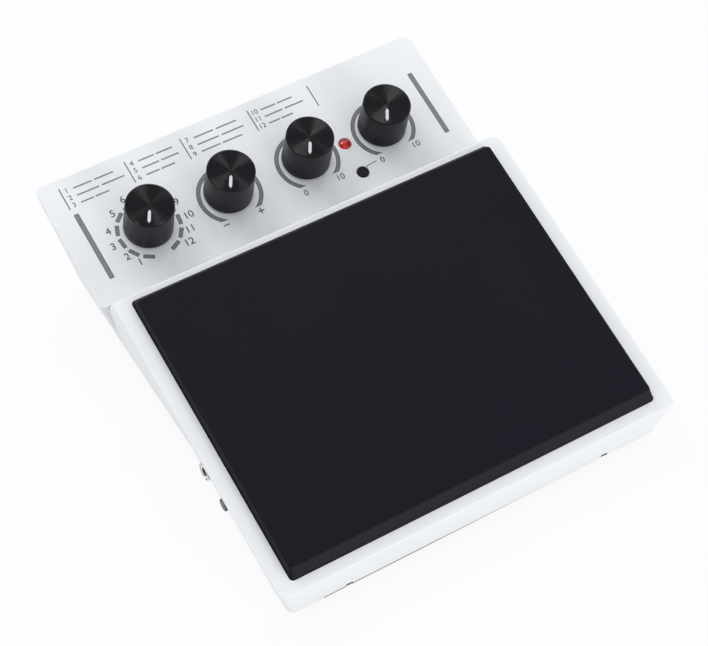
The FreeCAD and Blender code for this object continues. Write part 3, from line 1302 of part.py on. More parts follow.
def phones_jack():
    """Small jack in the left wall, held by a round nut."""
    tip = f"(-{PHONES_X} - sizes.phones_proud + 0.3)"
    half = "sizes.mini_width / 2"
    case = box("phones_case", PHONES_INNER, f"{PHONES_INNER} + sizes.mini_length",
               f"{PHONES_Y} - {half}", f"{PHONES_Y} + {half}",
               f"{PHONES_Z} - {half}", f"{PHONES_Z} + {half}")
    collar = rod("phones_neck", tip, PHONES_Y, PHONES_Z, "sizes.mini_bushing",
                 f"{PHONES_INNER} - {tip} + 1", "x")
    hole = rod("phones_bore", f"{tip} - 1", PHONES_Y, PHONES_Z, "sizes.mini_bore",
               f"{PHONES_INNER} - {tip} + 1 + sizes.mini_length - sizes.mini_floor", "x")
    node("phones_jack", cut("phones_jack", fuse("phones_solid", case, collar), hole))
    seat = f"(-{PHONES_X} + sizes.phones_seat)"
    outer = f"(-{PHONES_X} - sizes.phones_proud)"
    nut = rod("phones_nut_outer", outer, PHONES_Y, PHONES_Z, "sizes.phones_ring",
              f"{seat} - {outer}", "x")
    thread = rod("phones_nut_inner", outer, PHONES_Y, PHONES_Z, "sizes.mini_bushing + 0.05",
                 f"{seat} - {outer}", "x")
    node("phones_nut", cut("phones_nut", nut, thread))


def usb_socket():
    """Square data socket with its tongue."""
    x, front = "sizes.usb_across", f"({BAY} - sizes.usb_length)"
    half, rim = "sizes.usb_width / 2", "sizes.usb_shell"
    shell = box("usb_shell", f"{x} - {half}", f"{x} + {half}", front, BAY, BOARD_TOP,
                f"{BOARD_TOP} + sizes.usb_height")
    room = box("usb_room", f"{x} - {half} + {rim}", f"{x} + {half} - {rim}",
               f"{BAY} - sizes.usb_deep", f"{BAY} + 1", f"{BOARD_TOP} + {rim}",
               f"{BOARD_TOP} + sizes.usb_height - {rim}")
    wide, high = "sizes.usb_tongue_width / 2", "sizes.usb_tongue_height / 2"
    middle = f"({BOARD_TOP} + sizes.usb_height / 2)"
    tongue = box("usb_tongue", f"{x} - {wide}", f"{x} + {wide}", front, f"{BAY} - 1",
                 f"{middle} - {high}", f"{middle} + {high}")
    node("usb_socket", fuse("usb_socket", cut("usb_case", shell, room), tongue))


def power_socket():
    """Round power inlet with its centre pin."""
    x, front = "sizes.power_across", f"({BAY} - sizes.power_length)"
    half = "sizes.power_width / 2"
    middle = f"({BOARD_TOP} + sizes.power_height / 2)"
    case = box("power_case", f"{x} - {half}", f"{x} + {half}", front, BAY, BOARD_TOP,
               f"{BOARD_TOP} + sizes.power_height")
    hole = rod("power_bore", x, f"{BAY} - sizes.power_deep", middle, "sizes.power_bore",
               "sizes.power_deep + 1", "y")
    pin = rod("power_pin", x, f"{front} + 1", middle, "sizes.power_pin",
              "sizes.power_length - 2", "y")
    node("power_inlet", fuse("power_inlet", cut("power_shell", case, hole), pin))


def power_switch():
    """Slide switch behind the bay and its slider."""
    x, half = "sizes.toggle_across", "sizes.toggle_width / 2"
    tall, gap = "sizes.slider_height / 2", "sizes.slider_gap"
    body = box("toggle_body", f"{x} - {half}", f"{x} + {half}",
               f"{BAY_INNER} - sizes.toggle_length", BAY_INNER, BOARD_TOP,
               f"{BOARD_TOP} + sizes.toggle_height")
    track = box("toggle_track", *toggle_span(gap), f"{BAY_INNER} - sizes.toggle_length + 1",
                f"{BAY_INNER} + 1", f"{TOGGLE_Z} - {tall} - {gap}", f"{TOGGLE_Z} + {tall} + {gap}")
    node("power_switch", cut("power_switch", body, track))
    start, _ = toggle_span("0")
    slider = box("slider", start, f"{start} + sizes.slider_width",
                 f"{BAY_INNER} - sizes.toggle_length + 1 + {gap}", f"{BAY} + sizes.slider_proud",
                 f"{TOGGLE_Z} - {tall}", f"{TOGGLE_Z} + {tall}")
    ribs = [box(f"slider_groove_{index}", f"{start} + {place_} * sizes.slider_width - 0.25",
                f"{start} + {place_} * sizes.slider_width + 0.25",
                f"{BAY} + sizes.slider_proud - 0.4", f"{BAY} + sizes.slider_proud + 1",
                f"{TOGGLE_Z} - sizes.slider_height", f"{TOGGLE_Z} + sizes.slider_height")
            for index, place_ in enumerate((0.25, 0.5, 0.75))]
    node("power_slider", cut("power_slider", slider, *ribs))


# Batteries
CELL_Z = f"({PLATE_TOP} + sizes.cell_radius + sizes.cell_clearance)"


def cell_places():
    """Across, and whether the cell's nub points to the rear."""
    return [(f"(sizes.cell_pitch * {step})", index % 2 == 0)
            for index, step in enumerate((-1.5, -0.5, 0.5, 1.5))]


def battery_holder():
    """Open-bottomed box over the cells, welded to the plate by its rim."""
    wall = "sizes.holder_wall"
    half = "sizes.holder_half"
    roof = f"({CELL_Z} + sizes.cell_radius + sizes.cell_clearance)"
    outer = slab("holder_outer", rectangle(f"-{half} - {wall}", f"{half} + {wall}",
                                           f"{HOLDER_FRONT} - {wall}",
                                           f"{HOLDER_REAR} + {wall}"),
                 PLATE_TOP, f"{roof} + {wall} - {PLATE_TOP}")
    inner = slab("holder_inner", rectangle(f"-{half}", half, HOLDER_FRONT, HOLDER_REAR),
                 PLATE_TOP, f"{roof} - {PLATE_TOP}")
    node("battery_holder", cut("battery_holder", outer, inner))


def batteries():
    """Four cells with their plates and springs."""
    front, rear = HOLDER_FRONT, HOLDER_REAR
    contacts = []
    half, thick = "sizes.contact_width / 2", "sizes.contact_gauge"
    for index, (x, to_rear) in enumerate(cell_places()):
        for end, y in (("front", front), ("rear", f"({rear} - {thick})")):
            contacts.append(box(f"contact_{end}_{index}", f"{x} - {half}", f"{x} + {half}", y,
                                f"{y} + {thick}", f"{CELL_Z} - {half}", f"{CELL_Z} + {half}"))
        if to_rear:
            body_y = f"({front} + {thick} + sizes.spring_length)"
            nub_y = f"({body_y} + sizes.cell_length)"
            spring_y = f"({front} + {thick})"
        else:
            nub_y = f"({front} + {thick})"
            body_y = f"({nub_y} + sizes.nub_length)"
            spring_y = f"({body_y} + sizes.cell_length)"
        cell = rod(f"cell_body_{index}", x, body_y, CELL_Z, "sizes.cell_radius",
                   "sizes.cell_length", "y")
        nub = rod(f"cell_nub_{index}", x, nub_y, CELL_Z, "sizes.nub_radius",
                  "sizes.nub_length", "y")
        node(f"cell_{index + 1}", fuse(f"cell_{index + 1}", cell, nub))
        spring = doc.addObject("Part::Cone", f"spring_{index}")
        spring.setExpression("Radius1", "sizes.nub_radius * 1.4" if to_rear
                             else "sizes.nub_radius * 0.9")
        spring.setExpression("Radius2", "sizes.nub_radius * 0.9" if to_rear
                             else "sizes.nub_radius * 1.4")
        spring.setExpression("Height", "sizes.spring_length")
        contacts.append(place(spring, x, spring_y, CELL_Z, "-90", RIGHT))
    node("battery_contacts", fuse("battery_contacts", *contacts))


def battery_door():
    """Sliding door under the cells, hung by hooks over the plate's ledges."""
    door = slab("door_sheet", rectangle(f"-{DOOR_HALF}", DOOR_HALF, DOOR_FRONT, DOOR_REAR),
                DOOR_LOW, "sizes.door_gauge")
    gap = "sizes.door_gap"
    hook_low = f"({PLATE_TOP} + {gap})"
    stem_out = f"({SLOT_HALF} - {gap})"
    hooks = []
    for row, y in enumerate(HOOK_PLACES):
        for side, sign in (("left", -1), ("right", 1)):
            near, stem, reach = (f"({sign} * {across})" for across in
                                 (f"({stem_out} - sizes.hook_stem)", stem_out, HOOK_REACH))
            hooks.append(box(f"hook_stem_{side}_{row}", *(near, stem)[::sign], y,
                             f"{y} + sizes.hook_length", f"{DOOR_TOP} - 0.5",
                             f"{hook_low} + sizes.hook_gauge"))
            hooks.append(box(f"hook_{side}_{row}", *(near, reach)[::sign], y,
                             f"{y} + sizes.hook_length", hook_low,
                             f"{hook_low} + sizes.hook_gauge"))
    grips = []
    for index in range(4):
        rear = f"({DOOR_REAR} - sizes.grip_first - sizes.grip_pitch * {index})"
        grips.append(box(f"grip_{index}", "-sizes.grip_half", "sizes.grip_half",
                         f"{rear} - sizes.grip_width", rear, DOOR_LOW,
                         f"{DOOR_LOW} + sizes.grip_depth"))
    node("battery_door", cut("battery_door", fuse("door_solid", door, *hooks), *grips))


def check_and_write():
    """Stop at a failed object or bad shape, then write each piece to its own file."""
    doc.recompute()
    failed = [item.Label for item in doc.Objects
              if "Invalid" in item.State or "Error" in item.State]
    if failed:
        raise SystemExit(f"failed objects: {failed}")
    for name, thing in NODES.items():
        if thing.Shape.isNull() or not thing.Shape.isValid() or thing.Shape.Volume <= 0:
            raise SystemExit(f"bad shape: {name}")
    for name, thing in NODES.items():
        thing.Shape.exportStep(os.path.join("parts", f"{name}.step"))
    print(len(NODES), "pieces written")


top_cover()
bottom_plate()
feet()
case_screws()
clamp_inserts()
side_screws()
playing_pad()
sensor_lead()
control_bodies()
knobs()
lamp_and_button()
panel_board()
ribbon()
lower_boards()
board_screws()
rear_jacks()
phones_jack()
usb_socket()
power_socket()
power_switch()
battery_holder()
batteries()
battery_door()
check_and_write()
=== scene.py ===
"""Looks of a white desktop percussion pad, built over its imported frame.

Every piece is modelled or copied in the frame's own metres. Deck pieces are drawn flat
in millimetres, u across, v up the slope from the pad's front edge and w square to it,
then tilted onto the deck.
"""

import json
import logging
import math
from collections.abc import Callable, Iterator
from contextlib import contextmanager
from dataclasses import dataclass, field
from enum import Enum
from typing import Any

import bmesh
import bpy
from mathutils import Matrix, Vector

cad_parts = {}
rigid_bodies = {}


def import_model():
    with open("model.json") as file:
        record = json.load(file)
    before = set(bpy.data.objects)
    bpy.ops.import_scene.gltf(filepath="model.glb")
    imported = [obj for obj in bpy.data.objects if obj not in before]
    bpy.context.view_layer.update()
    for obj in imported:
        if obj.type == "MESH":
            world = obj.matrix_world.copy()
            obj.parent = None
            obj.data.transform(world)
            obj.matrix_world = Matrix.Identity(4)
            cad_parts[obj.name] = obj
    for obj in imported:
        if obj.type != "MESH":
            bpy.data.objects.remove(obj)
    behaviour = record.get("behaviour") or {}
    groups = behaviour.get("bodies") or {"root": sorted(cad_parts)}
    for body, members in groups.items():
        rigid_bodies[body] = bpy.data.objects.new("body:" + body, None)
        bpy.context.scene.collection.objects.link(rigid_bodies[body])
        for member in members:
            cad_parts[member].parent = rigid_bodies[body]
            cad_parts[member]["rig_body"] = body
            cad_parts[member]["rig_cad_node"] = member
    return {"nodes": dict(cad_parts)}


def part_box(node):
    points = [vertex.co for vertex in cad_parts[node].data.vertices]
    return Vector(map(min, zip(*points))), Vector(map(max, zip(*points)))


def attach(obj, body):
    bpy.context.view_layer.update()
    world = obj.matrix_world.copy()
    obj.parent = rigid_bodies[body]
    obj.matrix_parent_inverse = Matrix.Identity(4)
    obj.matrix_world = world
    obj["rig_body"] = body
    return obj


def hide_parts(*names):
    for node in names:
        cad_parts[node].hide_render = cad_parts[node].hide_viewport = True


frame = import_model()
log = logging.getLogger("percussion_pad")
Item = bpy.types.Object
Socket = bpy.types.NodeSocket
Pair = tuple[float, float]
Colour = tuple[float, float, float]
Place = tuple[float, float, float]
MM = 0.001
DIALS = ("select", "tune", "effect", "volume")
# Slope of the deck in degrees, and the cover's foot and the places of its notches in mm
TILT = 14.0
FOOT = 3.3
NOTCH_ACROSS = 55.5
DECK_UP = (0.0, -math.sin(math.radians(TILT)), math.cos(math.radians(TILT)))


class Slot(str, Enum):
    """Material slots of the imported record."""
    WHITE_CASE = "white_case"
    BLACK_PLASTIC = "black_plastic"
    BLACK_RUBBER = "black_rubber"
    FOAM = "foam"
    STEEL = "steel"
    ZINC = "zinc"
    BRASS = "brass"
    KNOB_BLACK = "knob_black"
    POINTER_PALE = "pointer_pale"
    LAMP_RED = "lamp_red"
    BOARD_GREEN = "board_green"
    GREY_PLASTIC = "grey_plastic"
    CELL_JACKET = "cell_jacket"


class Body(str, Enum):
    """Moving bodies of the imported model."""
    CASE = "case"
    BUTTON = "button"
    SLIDER = "slider"
    DOOR = "door"


# Shaders


def operator(operation: str, reflected: bool = False) -> Callable[["Value", Any], "Value"]:
    """Makes the method behind one of Python's operators.

    Args:
        operation: Operation of the Math node.
        reflected: Whether the value stands on the operator's right.

    Returns:
        The method.
    """
    def method(self: "Value", other: Any) -> "Value":
        """Works the operator out with another value or number."""
        first, second = (other, self) if reflected else (self, other)
        return self.maths(operation, first, second)
    return method


class Value:
    """A number in a node tree that takes Python's arithmetic."""
    __add__ = __radd__ = operator("ADD")
    __sub__ = operator("SUBTRACT")
    __rsub__ = operator("SUBTRACT", reflected=True)
    __mul__ = __rmul__ = operator("MULTIPLY")
    __truediv__ = operator("DIVIDE")
    __gt__ = operator("GREATER_THAN")
    __lt__ = operator("LESS_THAN")

    def __init__(self, paint: "Nodes", socket: Socket) -> None:
        """Wraps an output socket."""
        self.paint = paint
        self.socket = socket

    def maths(self, operation: str, first: Any, second: Any, clamp: bool = False) -> "Value":
        """Adds one Math node."""
        made = self.paint.node("ShaderNodeMath", {"operation": operation, "use_clamp": clamp},
                               {0: first, 1: second})
        return Value(self.paint, made.outputs[0])

    def clamped(self) -> "Value":
        """The value kept between nought and one."""
        return self.maths("ADD", self, 0.0, clamp=True)

    def rise(self, low: float, high: float) -> "Value":
        """Goes from nought to one as the value goes from low to high."""
        return ((self - low) / (high - low)).clamped()


class Nodes:
    """One node tree that is written by hand."""

    def __init__(self, tree: bpy.types.NodeTree) -> None:
        """Takes the tree."""
        self.tree = tree

    def node(self, kind: str, settings: dict[str, Any] | None = None,
             sockets: dict[int | str, Any] | None = None) -> bpy.types.Node:
        """Adds a node.

        Args:
            kind: The node's type.
            settings: Its own settings, set first.
            sockets: Values or links of its inputs by name or number.

        Returns:
            The node.
        """
        made = self.tree.nodes.new(kind)
        for key, value in (settings or {}).items():
            setattr(made, key, value)
        for key, value in (sockets or {}).items():
            self.feed(made.inputs[key], value)
        return made

    def feed(self, socket: Socket, value: Any) -> None:
        """Gives a socket a constant or a link.

        Args:
            socket: The input.
            value: A number, a colour, an output or a Value.
        """
        if isinstance(value, Value):
            value = value.socket
        if isinstance(value, Socket):
            self.tree.links.new(value, socket)
        elif isinstance(value, tuple) and len(value) == 3 and socket.type == "RGBA":
            socket.default_value = (*value, 1.0)
        else:
            socket.default_value = value

    def part(self, vector: Socket, axis: str) -> Value:
        """One coordinate of a vector."""
        split = self.node("ShaderNodeSeparateXYZ", {}, {0: vector})
        return Value(self, split.outputs[axis])


class Paint(Nodes):
    """One node material with a Principled shader."""

    def __init__(self, name: str) -> None:
        """Starts a material with its shader joined to the output.

        Args:
            name: The material's name.
        """
        self.material = bpy.data.materials.new(name)
        self.material.use_nodes = True
        super().__init__(self.material.node_tree)
        self.tree.nodes.clear()
        self.output = self.node("ShaderNodeOutputMaterial")
        self.shader = self.node("ShaderNodeBsdfPrincipled")
        self.tree.links.new(self.shader.outputs[0], self.output.inputs[0])

    def set(self, **sockets: Any) -> None:
        """Sets the shader's sockets, with underscores for the spaces in their names."""
        for key, value in sockets.items():
            self.feed(self.shader.inputs[key.replace("_", " ")], value)

    def place(self, centre: Place = (0.0, 0.0, 0.0), turn: Place = (0.0, 0.0, 0.0),
              scale: Place = (1.0, 1.0, 1.0)) -> Socket:
        """Object coordinates as seen from another frame.

        Args:
            centre: The frame's origin.
            turn: Its turn about each axis in radians.
            scale: Stretch along each of its axes.

        Returns:
            The coordinates.
        """
        where = self.node("ShaderNodeTexCoord").outputs["Object"]
        shifted = self.node("ShaderNodeMapping", {"vector_type": "TEXTURE"},
                            {"Vector": where, "Location": centre, "Rotation": turn})
        return self.node("ShaderNodeMapping", {"vector_type": "POINT"},
                         {"Vector": shifted.outputs[0], "Scale": scale}).outputs[0]

    def noise(self, vector: Socket, scale: float, detail: float = 2.0,
              roughness: float = 0.5) -> Value:
        """Smooth noise with so many features a metre."""
        made = self.node("ShaderNodeTexNoise", {}, {"Vector": vector, "Scale": scale,
                                                    "Detail": detail, "Roughness": roughness})
        return Value(self, made.outputs[0])

    def cells(self, vector: Socket, scale: float) -> Value:
        """Distance to the nearest of scattered points."""
        made = self.node("ShaderNodeTexVoronoi", {}, {"Vector": vector, "Scale": scale})
        return Value(self, made.outputs[0])

    def waves(self, vector: Socket, scale: float, direction: str,
              distortion: float = 0.0) -> Value:
        """Straight bands across one direction."""
        made = self.node("ShaderNodeTexWave",
                         {"wave_type": "BANDS", "bands_direction": direction},
                         {"Vector": vector, "Scale": scale, "Distortion": distortion})
        return Value(self, made.outputs[1])

    def mix(self, share: Any, first: Any, second: Any) -> Socket:
        """Blend of two colours."""
        return self.node("ShaderNodeMix", {"data_type": "RGBA"},
                         {0: share, 6: first, 7: second}).outputs[2]

    def mottled(self, share: Value, colour: Colour, dark: float, pale: float) -> Socket:
        """A colour that goes from one shade of itself to another."""
        return self.mix(share, shade(colour, dark), shade(colour, pale))

    def facing(self, direction: Place) -> Value:
        """How squarely the surface faces a direction.

        Args:
            direction: The direction, of length one.

        Returns:
            One where it does, and nought where it is edge-on.
        """
        normal = self.node("ShaderNodeNewGeometry").outputs["Normal"]
        made = self.node("ShaderNodeVectorMath", {"operation": "DOT_PRODUCT"},
                         {0: normal, 1: direction})
        return Value(self, made.outputs["Value"])

    def relief(self, height: Value, depth: float, strength: float = 1.0) -> None:
        """Bumps of a real depth in metres."""
        made = self.node("ShaderNodeBump", {}, {"Height": height, "Distance": depth,
                                                "Strength": strength})
        self.set(Normal=made.outputs[0])


def shade(colour: Colour, factor: float) -> Colour:
    """A colour made lighter or darker."""
    return tuple(min(1.0, part * factor) for part in colour)


@dataclass(frozen=True)
class Finish:
    """A named surface finish with its slot in the record, which wires its own material.

    Noise scales are in features a metre, and depths and grains in millimetres.
    """
    name: str
    slot: Slot

    def wire(self, paint: Paint, where: Socket) -> None:
        """Adds the finish's nodes.

        Args:
            paint: The new material.
            where: Object coordinates in metres.
        """
        raise NotImplementedError

    def material(self) -> bpy.types.Material:
        """Makes the material.

        Returns:
            The material.
        """
        paint = Paint(self.name)
        self.wire(paint, paint.place())
        return paint.material


@dataclass(frozen=True)
class Moulded(Finish):
    """Moulded plastic with a fine spark-eroded grain."""
    colour: Colour
    roughness: float = 0.42
    mottle: float = 0.03
    grain_mm: float = 0.5
    grain_depth_mm: float = 0.012
    specular: float = 0.5
    cloud_scale: float = 22.0
    handled_scale: float = 70.0
    handled_gloss: float = 0.16
    grain_gloss: float = 0.06

    def tinted(self, paint: Paint, where: Socket, base: Socket) -> Socket:
        """Colour of the surface, which stays as it is on plain plastic."""
        return base

    def wire(self, paint: Paint, where: Socket) -> None:
        """Adds the finish's nodes."""
        cloud = paint.noise(where, self.cloud_scale, 4.0)
        grain = paint.noise(where, 1 / (self.grain_mm * MM), 2.0)
        coarse = paint.noise(where, 2.25 / (self.grain_mm * MM))
        handled = paint.noise(where, self.handled_scale, 5.0, 0.65)
        base = paint.mottled(cloud.rise(0.3, 0.7), self.colour, 1 - self.mottle,
                             1 + self.mottle)
        paint.set(Base_Color=self.tinted(paint, where, base),
                  Roughness=self.roughness + (handled - 0.5) * self.handled_gloss
                  + (grain - 0.5) * self.grain_gloss, Specular_IOR_Level=self.specular)
        paint.relief(grain * 0.8 + coarse * 0.2, self.grain_depth_mm * MM)


@dataclass(frozen=True)
class CaseShell(Moulded):
    """White moulding with a painted shadow along its front foot and painted shade inside the two
    notches.
    """
    # Painted shade, in mm: height of the shadow band above the foot, where it starts and fades,
    # and the reach of the notch shade
    seam_shadow_height: float = 0.85
    seam_shadow_start: float = -66.0
    fade_start: float = -20.0
    fade_end: float = 32.0
    front_zone: float = -88.0
    notch_half: float = 1.35
    notch_top: float = 2.15
    # Colour of the painted shadow and shade
    dark: Colour = (0.045, 0.045, 0.048)

    def tinted(self, paint: Paint, where: Socket, base: Socket) -> Socket:
        """Paints shadow along the front foot and shade inside the notches.

        Args:
            paint: The new material.
            where: Object coordinates in metres.
            base: Colour of the plain surface.

        Returns:
            Colour of the surface with its painted shadow and shade.
        """
        across, along, height = (paint.part(where, axis) for axis in "XYZ")
        # Painted shadow: the lowest strip of the front-facing wall is darkened, fading out
        # towards the right
        line = (height < (FOOT + self.seam_shadow_height) * MM) * (across > self.seam_shadow_start * MM)
        line = line * (1 - across.rise(self.fade_start * MM, self.fade_end * MM))
        line = line * (paint.facing((0.0, -1.0, 0.0)) > 0.3)
        # Painted shade inside the two notches, low on the front of the case
        inside = 0.0
        for middle in (-NOTCH_ACROSS, NOTCH_ACROSS):
            inside = inside + ((across > (middle - self.notch_half) * MM)
                               * (across < (middle + self.notch_half) * MM))
        low = (height < (FOOT + self.notch_top) * MM) * (along < self.front_zone * MM)
        return paint.mix((line + inside * low).clamped(), base, self.dark)


@dataclass(frozen=True)
class Rubber(Finish):
    """Dull black rubber with a fine pebbled skin and a painted highlight on its front slope."""
    colour: Colour = (0.0036, 0.0031, 0.0080)
    bloom: Colour = (0.0058, 0.0050, 0.0112)
    # Paler colour of the painted highlight on the front slope
    wear_and_sheen: Colour = (0.0118, 0.0118, 0.0162)
    roughness: float = 0.58
    pebble_mm: float = 0.6
    depth_mm: float = 0.02
    specular: float = 0.14
    # Direction that the painted highlight faces, front and up
    slope: Place = (0.0, -0.81, 0.58)

    def wire(self, paint: Paint, where: Socket) -> None:
        """Adds the finish's nodes."""
        cloud = paint.noise(where, 16.0, 4.0, 0.6)
        pebble = paint.cells(where, 1 / (self.pebble_mm * MM))
        dust = paint.noise(where, 1400.0, 2.0)
        # Painted highlight: faces turned front and up are paler, a little uneven with the dust
        slope = paint.facing(self.slope).rise(0.85, 0.97)
        skin = paint.mix((cloud * 0.8 + dust * 0.2).rise(0.35, 0.7), self.colour, self.bloom)
        paint.set(Base_Color=paint.mix(slope * (0.75 + dust * 0.5), skin, self.wear_and_sheen),
                  Roughness=self.roughness + (cloud - 0.5) * 0.12 + (dust - 0.5) * 0.1,
                  Specular_IOR_Level=self.specular)
        paint.relief(1 - pebble * 0.7 + dust * 0.5, self.depth_mm * MM)


@dataclass(frozen=True)
class Gloss(Finish):
    """Black moulded plastic: a bright turned top and a duller side with painted streaks of
    sheen.
    """
    colour: Colour
    roughness: float = 0.12
    side_roughness: float = 0.36
    streaks: float = 0.03

    def wire(self, paint: Paint, where: Socket) -> None:
        """Adds the finish's nodes."""
        sheen_streak = paint.noise(paint.place(scale=(1.0, 1.0, 0.3)), 300.0, 4.0, 0.6)
        fine = paint.noise(where, 2600.0, 2.0)
        top = paint.facing(DECK_UP) > 0.6
        side = 1 - top
        dull = self.roughness + side * (self.side_roughness - self.roughness)
        # Painted sheen: the side is paler along stretched streaks, which also vary its roughness
        # and bumps
        paint.set(Base_Color=paint.mottled(sheen_streak.rise(0.4, 0.75) * side, self.colour, 1.0, 2.0),
                  Roughness=dull + (sheen_streak - 0.5) * side * 0.2 + (fine - 0.5) * self.streaks,
                  Specular_IOR_Level=0.2)
        paint.relief((sheen_streak * 0.7 + fine * 0.3) * side, 0.006 * MM)


@dataclass(frozen=True)
class Ink(Finish):
    """Screen-printed ink with a slightly uneven lay."""
    colour: Colour

    def wire(self, paint: Paint, where: Socket) -> None:
        """Adds the finish's nodes."""
        lay = paint.noise(where, 1600.0, 3.0)
        paint.set(Base_Color=paint.mottled(lay.rise(0.3, 0.75), self.colour, 0.86, 1.16),
                  Roughness=0.5 + (lay - 0.5) * 0.2, Specular_IOR_Level=0.4)
        paint.relief(lay, 0.006 * MM)


@dataclass(frozen=True)
class Metal(Finish):
    """Plated or rolled metal with fine drawn lines and dull spots."""
    colour: Colour
    roughness: float = 0.24
    along: Place = (1.0, 0.08, 1.0)

    def wire(self, paint: Paint, where: Socket) -> None:
        """Adds the finish's nodes."""
        lines = paint.noise(paint.place(scale=self.along), 3000.0, 3.0)
        spots = paint.noise(where, 260.0, 4.0, 0.6)
        paint.set(Base_Color=paint.mottled(spots.rise(0.35, 0.75), self.colour, 0.82, 1.0),
                  Metallic=1.0,
                  Roughness=self.roughness + (lines - 0.5) * 0.14 + (spots - 0.5) * 0.12)
        paint.relief(lines, 0.004 * MM)


@dataclass(frozen=True)
class Lens(Finish):
    """Clear red moulding of a lamp, lit from its own depth."""
    colour: Colour = (0.78, 0.012, 0.01)
    glow: Colour = (0.9, 0.05, 0.02)

    def wire(self, paint: Paint, where: Socket) -> None:
        """Adds the finish's nodes."""
        depth = paint.noise(where, 900.0, 2.0)
        paint.set(Base_Color=paint.mottled(depth.rise(0.35, 0.7), self.colour, 0.4, 1.0),
                  Roughness=0.06 + depth * 0.06, Transmission_Weight=0.25, IOR=1.49,
                  Emission_Color=paint.mottled(depth.rise(0.45, 0.72), self.glow, 0.25, 1.0),
                  Emission_Strength=0.22, Coat_Weight=0.6, Coat_Roughness=0.03)


@dataclass(frozen=True)
class Circuit(Finish):
    """Glass-fibre board with solder mask and copper tracks, and dark parts beyond its faces.

    The faces' heights are in metres, turned and measured from the centre.
    """
    top: float = 1.0
    low: float = -1.0
    mask: Colour = (0.01, 0.13, 0.05)
    track: Colour = (0.03, 0.24, 0.09)
    parts: Colour = (0.02, 0.02, 0.022)
    solder: Colour = (0.62, 0.6, 0.52)
    tilt: float = 0.0
    centre: Place = (0.0, 0.0, 0.0)

    def wire(self, paint: Paint, where: Socket) -> None:
        """Adds the finish's nodes."""
        turned = paint.place(self.centre, (math.radians(self.tilt), 0.0, 0.0))
        height = paint.part(turned, "Z")
        across = paint.waves(turned, 260.0, "X", 3.0) > 0.72
        along = paint.waves(turned, 210.0, "Y", 4.0) > 0.76
        copper = (across + along).clamped()
        dots = paint.cells(turned, 420.0) < 0.12
        board = paint.mix(dots, paint.mix(copper, self.mask, self.track), self.solder)
        raised = ((height > self.top) + (height < self.low)).clamped()
        grain = paint.noise(turned, 1500.0)
        paint.set(Base_Color=paint.mix(raised, board, self.parts),
                  Roughness=0.32 + raised * 0.2 + grain * 0.1, Metallic=dots * (1 - raised))
        paint.relief(copper * (1 - raised) + grain * 0.1, 0.02 * MM)


@dataclass(frozen=True)
class Foam(Finish):
    """Open foam with small broken cells."""
    colour: Colour = (0.05, 0.05, 0.053)

    def wire(self, paint: Paint, where: Socket) -> None:
        """Adds the finish's nodes."""
        cell = paint.cells(where, 1300.0)
        wide = paint.noise(where, 120.0, 3.0)
        paint.set(Base_Color=paint.mottled(cell.rise(0.1, 0.6), self.colour, 0.5, 1.3),
                  Roughness=0.86 + wide * 0.1, Specular_IOR_Level=0.2)
        paint.relief(cell, 0.25 * MM)


@dataclass(frozen=True)
class Jacket(Finish):
    """Printed sleeve of a battery cell with a bright band near one end."""
    band_start: float
    band_end: float
    base: Colour = (0.035, 0.04, 0.05)
    band: Colour = (0.62, 0.5, 0.22)

    def wire(self, paint: Paint, where: Socket) -> None:
        """Adds the finish's nodes."""
        along = paint.part(where, "Y")
        ring = (along > self.band_start) * (along < self.band_end)
        wear_and_sheen = paint.noise(where, 300.0, 4.0)
        paint.set(Base_Color=paint.mix(ring, paint.mottled(wear_and_sheen, self.base, 0.8, 1.3),
                                       self.band),
                  Metallic=ring * 0.8, Roughness=0.22 + wear_and_sheen * 0.14, Coat_Weight=0.3)
        paint.relief(wear_and_sheen, 0.01 * MM)


WHITE = CaseShell("satin_white", Slot.WHITE_CASE, (0.80, 0.815, 0.835), 0.4, 0.012, 0.55, 0.008)
MATT_BLACK = Moulded("matt_black_plastic", Slot.BLACK_PLASTIC, (0.028, 0.028, 0.031), 0.55,
                     0.12, 0.7, 0.03)
SOCKET_BLACK = Moulded("socket_black_plastic", Slot.BLACK_PLASTIC, (0.016, 0.016, 0.018), 0.36,
                       0.1, 0.5, 0.01)
GREY = Moulded("grey_plastic", Slot.GREY_PLASTIC, (0.16, 0.16, 0.17), 0.5, 0.08)
CREAM = Moulded("ribbon_sleeve", Slot.GREY_PLASTIC, (0.5, 0.5, 0.48), 0.5, 0.1)
BUTTON = Moulded("button_plastic", Slot.BLACK_PLASTIC, (0.0065, 0.0065, 0.0075), 0.42, 0.3,
                 0.45, 0.05, 0.25)
PAD_RUBBER = Rubber("pad_rubber_skin", Slot.BLACK_RUBBER)
FOOT_RUBBER = Rubber("foot_rubber", Slot.BLACK_RUBBER, (0.012, 0.012, 0.013),
                     (0.02, 0.02, 0.021), (0.026, 0.026, 0.028), 0.7, 0.8, specular=0.3)
KNOB = Gloss("knob_gloss_black", Slot.KNOB_BLACK, (0.0038, 0.0034, 0.0056))
POINTER = Moulded("pointer_pale", Slot.POINTER_PALE, (0.6, 0.62, 0.64), 0.35, 0.05, 0.3, 0.01)
MARK_GREY = Ink("print_grey", Slot.WHITE_CASE, (0.19, 0.20, 0.24))
MARK_DARK = Ink("print_dark", Slot.WHITE_CASE, (0.075, 0.08, 0.10))
NICKEL = Metal("bright_nickel", Slot.ZINC, (0.78, 0.77, 0.74), 0.18)
ZINC = Metal("zinc_plate", Slot.ZINC, (0.62, 0.63, 0.64), 0.3)
STEEL = Metal("rolled_steel", Slot.STEEL, (0.5, 0.5, 0.51), 0.34, (0.05, 1.0, 1.0))
DARK_STEEL = Metal("blackened_screw", Slot.STEEL, (0.07, 0.07, 0.075), 0.36)
BRASS = Metal("brass", Slot.BRASS, (0.74, 0.54, 0.24), 0.26, (1.0, 1.0, 0.1))
LENS = Lens("lamp_lens", Slot.LAMP_RED)
FOAM = Foam("open_foam", Slot.FOAM)


# Bench


